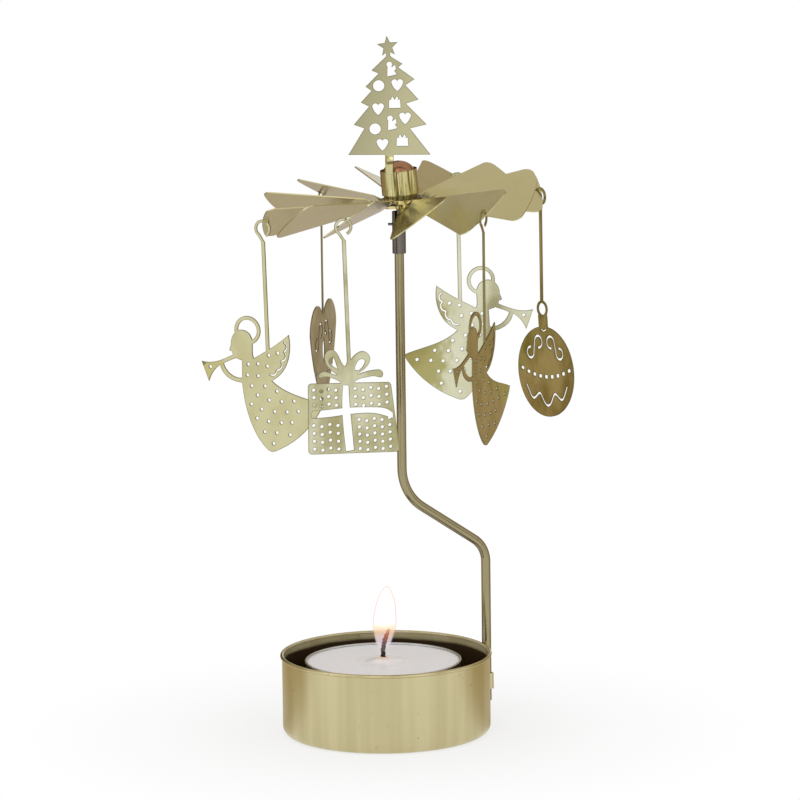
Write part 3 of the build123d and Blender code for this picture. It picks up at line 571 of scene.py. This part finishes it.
def cap_finish(low, high, gold, copper):
    """The polished cap: gold sides with painted shade in the gap above the flange, running into a heat-tinted
    copper dome.
    """
    material, finish, shader = new_finish("cap_finish", Metallic=1.0)
    height = finish.axes(finish.place())[2]
    cloud = finish.grain((2.5, 2.5, 2.5), detail=2.0)
    heated = finish.ease(height + cloud.spread(1.5 * MM), *(low + (high - low) * share for share in CAP_HEAT))
    # Painted shade in the gap above the flange
    gap_shade = finish.fade(abs(height - low - CAP_GAP), *CAP_GAP_HALF)
    sides = finish.mix(gap_shade * 0.92, gold, tinted(gold, 0.16, 0.4))
    finish.feed(shader["Base Color"], finish.mix(heated, sides, copper))
    finish.feed(shader["Roughness"], 0.05 + cloud * 0.06)
    return material


# Tree

# Up to where the sleeve is burnished, above the tree's foot
SLEEVE_TOP = (9 * MM, 11 * MM)
# How much the border of the tree's painted shade side leans, at its start and its end
SHADE_LEAN = 0.35
SHADE_END_LEAN = 0.4


class CAROUSEL_OT_tree(bpy.types.Operator):
    """Finish the tree topper"""

    bl_idname = "carousel.tree"
    bl_label = "Tree"

    def execute(self, context):
        dress("tree_topper", tree_brass(settings().sheet_colour, *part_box("tree_topper")))
        return {"FINISHED"}


def tree_brass(colour, low, high):
    """The tree's sheet, with painted shade towards its top and left, and a burnished sleeve."""
    material, finish, shader = new_finish("tree_brass", Metallic=1.0)
    x, _, z = finish.axes(finish.place())
    wave = finish.grain((9.0, 9.0, 9.0), detail=1.0)
    cloud = finish.grain((7.0, 7.0, 7.0), roughness=0.6)
    sleeve = finish.fade(z, *(low.z + upwards for upwards in SLEEVE_TOP))
    cut = finish.cut_edge((0, -1, 0)) * (1 - sleeve)
    # Painted shade: darker towards the top and left, lighter towards the right
    leaning = x + cloud.spread(6 * MM) - z * SHADE_LEAN
    right = finish.ease(leaning, low.x - high.z * SHADE_LEAN, high.x - low.z * SHADE_END_LEAN)
    shade = finish.mix(right, tinted(colour, 0.56), tinted(colour, 0.86))
    shade = finish.mix(sleeve, shade, tinted(colour, 0.95, 0.15))
    shade = finish.marked(finish.specks(0.6, 0.74) * 0.5, shade, colour, 0.35)
    shade = finish.marked(finish.rim() * 0.8, shade, colour, 0.25)
    finish.feed(shader["Base Color"], finish.marked(cut * 0.7, shade, colour, 0.25))
    finish.feed(shader["Roughness"], 0.14 + cloud * 0.06 - sleeve * 0.09 + cut * 0.2)
    finish.feed(shader["Normal"], finish.bump(wave, 0.5, 0.2 * MM))
    return material


# Charms

# Each charm: its turn about the upright in degrees, how bright its brass is painted for the light it
# reflects, how strong its painted reflection clouds are, and how warm its brass is painted for the light it
# reflects
CHARMS = (
    ("bauble_charm", -54.0, 1.06, 0.4, 0.08),
    ("angel_charm_back", 10.0, 1.16, 0.12, -0.32),
    ("heart_charm", 76.0, 0.88, 0.3, 0.0),
    ("angel_charm_left", -26.7, 0.99, 0.1, 0.0),
    ("gift_charm", 10.0, 0.97, 0.34, -0.2),
    ("angel_charm_front", 65.0, 1.14, 0.2, -0.05),
)
# The painted reflection clouds on a charm: their turn from the sheet's own, and where their two shades meet
REFLECTION_CLOUD_TURN = 30
REFLECTION_CLOUD_EDGE = (0.32, 0.68)
# Shares of a patch's reach between which it fades
PATCH_EDGE = (0.86, 1.05)


class CAROUSEL_OT_charms(bpy.types.Operator):
    """Finish the six hanging charms"""

    bl_idname = "carousel.charms"
    bl_label = "Charms"

    def execute(self, context):
        for name, turn, reflected_brightness, reflection_clouding, warmth in CHARMS:
            # Each charm's brass colour is painted to its own reflected brightness and warmth
            colour = tinted(settings().sheet_colour, reflected_brightness, warmth)
            dress(name, sheet_brass(name + "_brass", colour, turn, reflection_clouding, charm_patches(name)))
        return {"FINISHED"}


def charm_patches(name):
    """The patches of a charm: the middle, reach, darkness and warmth of each; the back angel's skirt patch is
    a painted reflection, and the left angel's horn has a warm darker patch with a dark tip.
    """
    low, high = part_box(name)
    if name == "angel_charm_back":
        skirt = Vector((low.x - 3 * MM, (low.y + high.y) / 2, low.z + 13 * MM))
        return [(skirt, 16 * MM, 0.52, 0.64)]
    if name == "angel_charm_left":
        horn = Vector((low.x + 1 * MM, high.y - 0.5 * MM, low.z + 19.8 * MM))
        tip = Vector((low.x, high.y - 0.5 * MM, low.z + 21.3 * MM))
        return [(horn, 6 * MM, 0.88, 0.35), (tip, 1.5 * MM, 0.3, 0.5)]
    return []


def sheet_brass(name, colour, turn, reflection_clouding, patches):
    """Rolled brass sheet: slightly wavy, with painted reflection clouds, specks, tinted patches, one of them
    a painted reflection, and darker edges.
    """
    material, finish, shader = new_finish(name, Metallic=1.0)
    wave = finish.grain((9.0, 9.0, 7.0), turn, detail=1.0)
    cloud = finish.grain((8.0, 8.0, 12.0), turn + REFLECTION_CLOUD_TURN, roughness=0.6)
    cut = finish.cut_edge((math.sin(math.radians(turn)), -math.cos(math.radians(turn)), 0))
    # Painted reflection clouds: a darker warmer shade and a brighter shade of the brass
    dull = tinted(colour, 1 - reflection_clouding, reflection_clouding)
    shade = finish.mix(finish.ease(cloud, *REFLECTION_CLOUD_EDGE), dull, tinted(colour, 1 + reflection_clouding * 0.25))
    # Patches: the back angel's skirt patch is a painted reflection
    for middle, reach, darkness, warmth in patches:
        away = finish.vector("DISTANCE", finish.place(), middle) + cloud.spread(reach)
        mask = finish.fade(away, *(reach * share for share in PATCH_EDGE))
        shade = finish.mix(mask * 0.85, shade, tinted(colour, darkness, warmth))
    shade = finish.marked(finish.specks(0.6, 0.74, turn) * 0.6, shade, colour, 0.35)
    shade = finish.marked(finish.rim() * 0.85, shade, colour, 0.28)
    finish.feed(shader["Base Color"], finish.marked(cut * 0.7, shade, colour, 0.32))
    finish.feed(shader["Roughness"], 0.13 + cloud * 0.08 + cut * 0.2)
    finish.feed(shader["Normal"], finish.bump(wave, 0.6, 0.3 * MM))
    return material


# Tealight

CUP_COLOUR, CUP_ROUGHNESS = (0.72, 0.72, 0.74), 0.22
SUSTAINER_COLOUR, SUSTAINER_ROUGHNESS = (0.6, 0.6, 0.6), 0.3
# Wax: how far round the wick it is soft, and how far round it the flame's orange light is painted
SOFT_WAX_COLOUR, SOFT_WAX_TO = (0.9, 0.84, 0.82), (3 * MM, 10 * MM)
PAINTED_FLAME_LIGHT_COLOUR, PAINTED_FLAME_LIGHT_TO = (0.95, 0.5, 0.25), (0.5 * MM, 2.7 * MM)

WICK_STRANDS = 3
WICK_LAY = 3.2 * MM
WICK_STATIONS = 60
WICK_SIDES = 10
# Shares of the wick's height where it bends and tapers, and the height that its middle line reaches
WICK_BEND_FROM, WICK_BEND_POWER = 0.785, 1.6
WICK_TAPER_FROM, WICK_TAPER = 0.9, 0.35
WICK_TOP = 0.99
# The step each way that gives the line's direction, and a strand's radius as a share of the wick's
WICK_AHEAD = 0.01
STRAND_RADIUS_SHARE = 0.46
# The wick's colours, and where it is charred above the wax and glows below its top
COTTON = (0.75, 0.72, 0.68)
CHAR_DARK, CHAR_PALE = (0.012, 0.008, 0.007), (0.05, 0.03, 0.025)
GLOW_LOW, GLOW_HIGH = (0.02, 0.004, 0.001), (0.4, 0.08, 0.015)
CHAR_BELOW_WAX = 1.2 * MM
GLOW_DOWN = (4.6 * MM, 0.5 * MM)
GLOW_FULL_DOWN = 3 * MM


class CAROUSEL_OT_tealight(bpy.types.Operator):
    """Finish the tealight's cup and wax, and twist its wick"""

    bl_idname = "carousel.tealight"
    bl_label = "Tealight"

    def execute(self, context):
        dress("tealight_cup", steel("cup_aluminium", CUP_COLOUR, CUP_ROUGHNESS))
        dress("wick_sustainer", steel("sustainer_steel", SUSTAINER_COLOUR, SUSTAINER_ROUGHNESS))
        dress("wax", wax_finish(settings().wax_colour, wick_foot()))
        piece = twisted_wick(*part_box("wick"))
        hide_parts("wick")
        return {"FINISHED"}


def wick_foot(rise=0.0):
    """Where the wick leaves the wax, moved up by a rise."""
    low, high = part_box("wick")
    radius = (high.y - low.y) / 2
    return Vector((low.x + radius, low.y + radius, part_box("wax")[1].z + rise))


def wax_finish(colour, middle):
    """Smooth wax, warmer and glossier round the wick where it softens, with the flame's light painted on it
    closest to the wick.
    """
    material, finish, shader = new_finish(
        "wax_finish",
        IOR=1.43,
        Subsurface_Weight=0.35,
        Subsurface_Scale=2.0 * MM,
        Subsurface_Radius=(1.0, 0.8, 0.7),
    )
    away = finish.vector("DISTANCE", finish.place(), middle)
    cloud = finish.grain((5.0, 5.0, 5.0))
    soft = finish.fade(away, *SOFT_WAX_TO)
    painted_flame_light = finish.fade(away, *PAINTED_FLAME_LIGHT_TO)
    shade = finish.mix(cloud, tinted(colour, 0.95), colour)
    shade = finish.mix(soft * 0.4, shade, SOFT_WAX_COLOUR)
    # Painted light: the flame's orange glow on the wax round the wick
    finish.feed(shader["Base Color"], finish.mix(painted_flame_light * 0.7, shade, PAINTED_FLAME_LIGHT_COLOUR))
    finish.feed(shader["Roughness"], 0.32 - soft * 0.18 + cloud * 0.06)
    finish.feed(shader["Normal"], finish.bump(cloud, 0.1, 0.2 * MM))
    return material


def wick_line(low, high, share):
    """The wick's middle line: upright, then leaning over near its top."""
    radius = (high.y - low.y) / 2
    lean = high.x - low.x - 2 * radius
    bend = max(0.0, share - WICK_BEND_FROM) / (1 - WICK_BEND_FROM)
    rise = (high.z - low.z) * share * WICK_TOP
    return Vector((low.x + radius + lean * bend**WICK_BEND_POWER, low.y + radius, low.z + rise))


def twisted_wick(low, high):
    """Three cotton strands laid round each other along the wick's line."""
    whole = (high.y - low.y) / 2
    radius = whole * STRAND_RADIUS_SHARE
    length = high.z - low.z
    bm = bmesh.new()
    for turn in range(WICK_STRANDS):
        stations = []
        for index in range(WICK_STATIONS + 1):
            share = index / WICK_STATIONS
            ahead = wick_line(low, high, share + WICK_AHEAD) - wick_line(low, high, share - WICK_AHEAD)
            upright = ahead.to_track_quat("Z", "Y").to_matrix().to_4x4()
            angle = math.tau * (share * length / WICK_LAY + turn / WICK_STRANDS)
            taper = 1 - WICK_TAPER * max(0.0, share - WICK_TAPER_FROM) / (1 - WICK_TAPER_FROM)
            reach = (whole - radius) * taper
            spread = Matrix.Translation((reach * math.cos(angle), reach * math.sin(angle), 0))
            place = Matrix.Translation(wick_line(low, high, share)) @ upright @ spread
            stations.append((place, radius * taper))
        strand(bm, stations, WICK_SIDES)
    return new_piece("wick_strands", bm, wick_finish(high.z), "tealight")


def wick_finish(top):
    """Cotton, charred black above the wax, with a glowing top."""
    material, finish, shader = new_finish("wick_finish", Emission_Strength=1.0)
    height = finish.axes(finish.place())[2]
    fibre = finish.grain((0.3, 0.3, 0.6))
    wax_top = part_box("wax")[1].z
    charred = finish.ease(height, wax_top - CHAR_BELOW_WAX, wax_top)
    glowing = finish.ease(height + fibre.spread(2 * MM), *(top - down for down in GLOW_DOWN))
    hot = finish.mix(glowing, GLOW_LOW, GLOW_HIGH)
    above = finish.ease(height, wax_top, top - GLOW_FULL_DOWN)
    finish.feed(shader["Base Color"], finish.mix(charred, COTTON, finish.mix(fibre, CHAR_DARK, CHAR_PALE)))
    finish.feed(shader["Emission Color"], finish.mix(above, (0, 0, 0), hot))
    finish.feed(shader["Roughness"], 0.75 + fibre * 0.2)
    finish.feed(shader["Normal"], finish.bump(fibre, 0.5, 0.1 * MM))
    return material


# Flame

FLAME_RISE = 1.4 * MM
FLAME_LEAN = 0.066
# The flame's outline: shares of its greatest radius and of its height
FLAME_PROFILE = (
    (0.0, 0.0),
    (0.36, 0.015),
    (0.62, 0.1),
    (0.84, 0.22),
    (0.97, 0.34),
    (1.0, 0.43),
    (0.97, 0.55),
    (0.85, 0.7),
    (0.66, 0.83),
    (0.38, 0.94),
    (0.16, 0.985),
    (0.0, 1.0),
)
FLAME_STEPS = 32
FLAME_ROUNDING = 2
FLAME_SKIN = 0.2 * MM
BODY_STRENGTH, SKIN_STRENGTH = 1.8, 1.0
# A finish that glows and takes no light
UNLIT = {"Base_Color": (0, 0, 0), "Roughness": 1.0, "Specular_IOR_Level": 0.0}
# The body's colours up its height
FLAME_STOPS = (
    (0.0, (0.5, 0.48, 0.56)),
    (0.16, (0.58, 0.5, 0.54)),
    (0.29, (0.6, 0.4, 0.24)),
    (0.37, (0.72, 0.55, 0.33)),
    (0.47, (1.0, 0.98, 0.9)),
)
SKIN_LOW, SKIN_HIGH = (0.7, 0.5, 0.55), (0.86, 0.5, 0.42)
# The haze behind the wick: where it sets in past the wick's line, how dense it is, and where it ends below
HAZE_PAST = (-0.5 * MM, 1.2 * MM)
HAZE_DENSITY = 0.55
HAZE_FOOT = (0.0, 0.14)
# How opaque the body and the skin are: from a share of the height to another, and from a low to a high
BODY_CLEARING, BODY_LOW, BODY_HIGH = (0.27, 0.5), 0.045, 0.98
SKIN_CLEARING, SKIN_OPACITY = (0.22, 0.55), (0.05, 0.5)


class CAROUSEL_OT_flame(bpy.types.Operator):
    """Light the wick"""

    bl_idname = "carousel.flame"
    bl_label = "Flame"

    def execute(self, context):
        foot = wick_foot(FLAME_RISE)
        flame_piece("flame_body", foot, 0.0, flame_body_finish(foot))
        flame_piece("flame_skin", foot, FLAME_SKIN, flame_skin_finish(foot))
        return {"FINISHED"}


def flame_piece(name, foot, skin, material):
    """A leaning drop over the wick, grown outwards by a skin."""
    radius = settings().flame_width / 2 + skin
    height = settings().flame_height + 2 * skin
    bm = bmesh.new()
    spun(bm, [(radius * across, height * up) for across, up in FLAME_PROFILE], FLAME_STEPS)
    lean = Matrix.Shear("XY", 4, (FLAME_LEAN, 0.0))
    place = Matrix.Translation(foot - Vector((0, 0, skin)))
    bmesh.ops.transform(bm, matrix=place @ lean, verts=bm.verts)
    piece = new_piece(name, bm, material, "tealight")
    rounding = piece.modifiers.new("rounding", "SUBSURF")
    rounding.levels = rounding.render_levels = FLAME_ROUNDING
    return piece


def flame_body_finish(foot):
    """The bright body, clear in front of the wick and hazy behind it, yellow just above it."""
    material, finish, shader = new_finish("flame_body", **UNLIT, Emission_Strength=BODY_STRENGTH)
    _, y, z = finish.axes(finish.place())
    share = (z - foot.z) / settings().flame_height
    haze = finish.ease(y - foot.y, *HAZE_PAST, 0.0, HAZE_DENSITY) * finish.ease(share, *HAZE_FOOT)
    glow = finish.node("ShaderNodeValToRGB", {"stops": FLAME_STOPS}, {0: share})
    finish.feed(shader["Emission Color"], glow)
    finish.feed(shader["Alpha"], finish.ease(share, *BODY_CLEARING, haze + BODY_LOW, BODY_HIGH))
    return material


def flame_skin_finish(foot):
    """The thin rosy edge of the flame."""
    material, finish, shader = new_finish("flame_skin", **UNLIT, Emission_Strength=SKIN_STRENGTH)
    height = finish.axes(finish.place())[2]
    share = (height - foot.z) / settings().flame_height
    finish.feed(shader["Emission Color"], finish.mix(share, SKIN_LOW, SKIN_HIGH))
    finish.feed(shader["Alpha"], finish.ease(share, *SKIN_CLEARING, *SKIN_OPACITY))
    return material


# Stage

AIM = Vector((4.23 * MM, 0.0, 82.56 * MM))
CAMERA_ROLL = math.radians(-0.74)
LENS_MM = 292.1
SENSOR_MM = 36.0
CLIP_START, CLIP_END = 0.05, 30.0

# The surroundings that polished metal shows
DARK_SIDE = (0.4, 0.31, 0.19)
LIGHT_SIDE = (0.97, 1.0, 1.0)
ABOVE = (0.72, 0.68, 0.6)
# Their upright bands: middle and half width in degrees to the right of the front, and colour
BANDS = (
    (-164.0, 30.0, (0.12, 0.09, 0.045)),
    (-82.0, 8.0, (1.0, 0.97, 0.88)),
    (-30.0, 8.0, (0.3, 0.25, 0.14)),
    (40.0, 8.0, (1.0, 0.99, 0.93)),
    (61.0, 9.0, (0.26, 0.19, 0.08)),
    (97.0, 8.0, (1.0, 0.97, 0.88)),
)
# The share of a band's half width that has its full colour
BAND_CORE = 0.4
# Between which parts of a direction to the front, to the back and upwards each colour sets in
FRONT_FROM = (-0.3, 0.35)
BEHIND_FROM = (0.93, 0.985)
BEHIND_SHARE = 0.8
ABOVE_FROM = (0.25, 0.8)
# What dull surfaces get from all round
ALL_ROUND = (0.78, 0.78, 0.78)
WHITE = (1, 1, 1)

# The floor: its own colour, and how much it glows from its middle outwards
FLOOR_COLOUR = (0.95, 0.95, 0.95)
FLOOR_GLOW = 0.7
FLOOR_GLOW_FROM = (0.028, 0.1)
FLOOR_SEGMENTS = 64
# What polished metal sees of it: the near sides, straight behind, and from where the bands show
NEAR_SIDE = (0.55, 0.47, 0.3)
NEAR_SIDE_TO = (0.15, 0.3)
FLOOR_BEHIND = (0.6, 0.54, 0.5)
FLOOR_BEHIND_FROM = (0.86, 0.95)
BANDS_FROM = (0.25, 0.5)

LAMPS = (
    # name, place, width, height, energy
    ("key_lamp", (-0.7, -0.9, 1.1), 1.4, 1.4, 2.4),
    ("fill_lamp", (0.9, -0.8, 0.8), 1.2, 1.2, 1.2),
    ("strip_lamp_left", (-1.17, -0.53, 0.3), 0.12, 0.7, 0.35),
    ("strip_lamp_middle", (-0.22, -1.06, 0.3), 0.2, 0.7, 0.35),
)


class CAROUSEL_OT_stage(bpy.types.Operator):
    """Set the floor, the surroundings, the lamps and the camera"""

    bl_idname = "carousel.stage"
    bl_label = "Stage"

    def execute(self, context):
        camera()
        surroundings()
        floor()
        lamps()
        context.scene.view_settings.view_transform = "Standard"
        return {"FINISHED"}


def camera():
    """A long lens that looks at the object from the front, slightly rolled."""
    pitch = settings().camera_elevation
    away = Vector((0, -math.cos(pitch), math.sin(pitch)))
    right = Vector((1, 0, 0))
    up = away.cross(right)
    rolled_right = right * math.cos(CAMERA_ROLL) + up * math.sin(CAMERA_ROLL)
    rolled_up = up * math.cos(CAMERA_ROLL) - right * math.sin(CAMERA_ROLL)
    place = Matrix((rolled_right, rolled_up, away)).transposed().to_4x4()
    place.translation = AIM + away * settings().camera_distance
    data = bpy.data.cameras.new("view")
    data.lens, data.sensor_width = LENS_MM, SENSOR_MM
    data.clip_start, data.clip_end = CLIP_START, CLIP_END
    view = bpy.data.objects.new("view", data)
    view.matrix_world = place
    bpy.context.scene.collection.objects.link(view)
    bpy.context.scene.camera = view


def surround_light(finish, direction):
    """What polished metal sees round the object: a light front, and warm dusk to the sides and behind."""
    x, y, z = finish.axes(direction)
    side = finish.mix(finish.ease(y * -1, *FRONT_FROM), DARK_SIDE, LIGHT_SIDE)
    side = finish.mix(finish.ease(y, *BEHIND_FROM) * BEHIND_SHARE, side, LIGHT_SIDE)
    side = banded(finish, side, x, y, 1.0)
    return finish.mix(finish.ease(z, *ABOVE_FROM), side, ABOVE)


def floor_light(finish, outwards, away):
    """What polished metal sees of the floor: pale in front, dusk at the sides, dull behind, bands far out."""
    x, y, _ = finish.axes(outwards)
    dusk = finish.mix(finish.ease(away, *NEAR_SIDE_TO), NEAR_SIDE, DARK_SIDE)
    colour = finish.mix(finish.ease(y * -1, *FRONT_FROM), dusk, LIGHT_SIDE)
    colour = finish.mix(finish.ease(y, *FLOOR_BEHIND_FROM), colour, FLOOR_BEHIND)
    return banded(finish, colour, x, y, finish.ease(away, *BANDS_FROM))


def banded(finish, colour, x, y, share):
    """The upright light and dark bands over a colour of the surroundings."""
    azimuth = finish.angle(x, y * -1)
    for middle, half, band in BANDS:
        away = abs(azimuth - math.radians(middle))
        mask = finish.fade(away, math.radians(half * BAND_CORE), math.radians(half))
        colour = finish.mix(mask * share, colour, band)
    return colour


def surroundings():
    """A white backdrop, even light for dull surfaces, and what polished metal shows."""
    world = bpy.data.worlds.new("surroundings")
    bpy.context.scene.world = world
    world.use_nodes = True
    finish = empty_finish(world.node_tree)
    glossy = finish.node("ShaderNodeLightPath", output="Is Glossy Ray")
    straight = finish.node("ShaderNodeLightPath", output="Is Camera Ray")
    seen = finish.mix(glossy, ALL_ROUND, surround_light(finish, finish.place("Generated")))
    background = finish.node("ShaderNodeBackground", None, {"Color": finish.mix(straight, seen, WHITE)})
    finish.node("ShaderNodeOutputWorld", None, {"Surface": background})


def floor():
    """A pale floor that takes the object's shadow and runs into the white backdrop."""
    bm = bmesh.new()
    bmesh.ops.create_circle(bm, segments=FLOOR_SEGMENTS, radius=settings().floor_radius, cap_ends=True)
    material = bpy.data.materials.new("floor_finish")
    material.use_nodes = True
    finish = empty_finish(material.node_tree)
    glossy = finish.node("ShaderNodeLightPath", output="Is Glossy Ray")
    away = finish.vector("LENGTH", finish.place())
    outwards = finish.vector("NORMALIZE", finish.place(), output="Vector")
    seen = finish.mix(glossy, WHITE, floor_light(finish, outwards, away))
    own = finish.node("ShaderNodeBsdfDiffuse", None, {"Color": FLOOR_COLOUR})
    glow = finish.node("ShaderNodeEmission", None, {"Color": seen})
    share = finish.ease(away, *FLOOR_GLOW_FROM, FLOOR_GLOW, 1.0)
    surface = finish.node("ShaderNodeMixShader", None, {0: share, 1: own, 2: glow})
    finish.node("ShaderNodeOutputMaterial", None, {"Surface": surface})
    ground = new_piece("floor", bm, material, None, smooth=False)
    if ground.data.polygons[0].normal.z < 0:
        ground.data.flip_normals()


def lamps():
    """Area lamps, aimed where the camera is aimed."""
    for name, place, width, height, energy in LAMPS:
        data = bpy.data.lights.new(name, "AREA")
        data.shape, data.size, data.size_y, data.energy = "RECTANGLE", width, height, energy
        lamp = bpy.data.objects.new(name, data)
        lamp.location = place
        lamp.rotation_euler = (AIM - Vector(place)).to_track_quat("-Z", "Y").to_euler()
        bpy.context.scene.collection.objects.link(lamp)


# Add-on


class CAROUSEL_PT_panel(bpy.types.Panel):
    """A button for each operator, and the settings"""

    bl_label = "Carousel"
    bl_idname = "CAROUSEL_PT_panel"
    bl_space_type = "VIEW_3D"
    bl_region_type = "UI"
    bl_category = "Carousel"

    def draw(self, context):
        for operator in OPERATORS:
            self.layout.operator(operator.bl_idname)
        for name in CarouselSettings.__annotations__:
            self.layout.prop(context.scene.carousel, name)


OPERATORS = (
    CAROUSEL_OT_tin,
    CAROUSEL_OT_pole,
    CAROUSEL_OT_wheel,
    CAROUSEL_OT_tree,
    CAROUSEL_OT_charms,
    CAROUSEL_OT_tealight,
    CAROUSEL_OT_flame,
    CAROUSEL_OT_stage,
)
CLASSES = (CarouselSettings, *OPERATORS, CAROUSEL_PT_panel)


def register():
    for part in CLASSES:
        bpy.utils.register_class(part)
    bpy.types.Scene.carousel = bpy.props.PointerProperty(type=CarouselSettings)


def unregister():
    del bpy.types.Scene.carousel
    for part in reversed(CLASSES):
        bpy.utils.unregister_class(part)


def main():
    register()
    bpy.ops.carousel.tin()
    bpy.ops.carousel.pole()
    bpy.ops.carousel.wheel()
    bpy.ops.carousel.tree()
    bpy.ops.carousel.charms()
    bpy.ops.carousel.tealight()
    bpy.ops.carousel.flame()
    bpy.ops.carousel.stage()


if __name__ == "__main__":
    main()
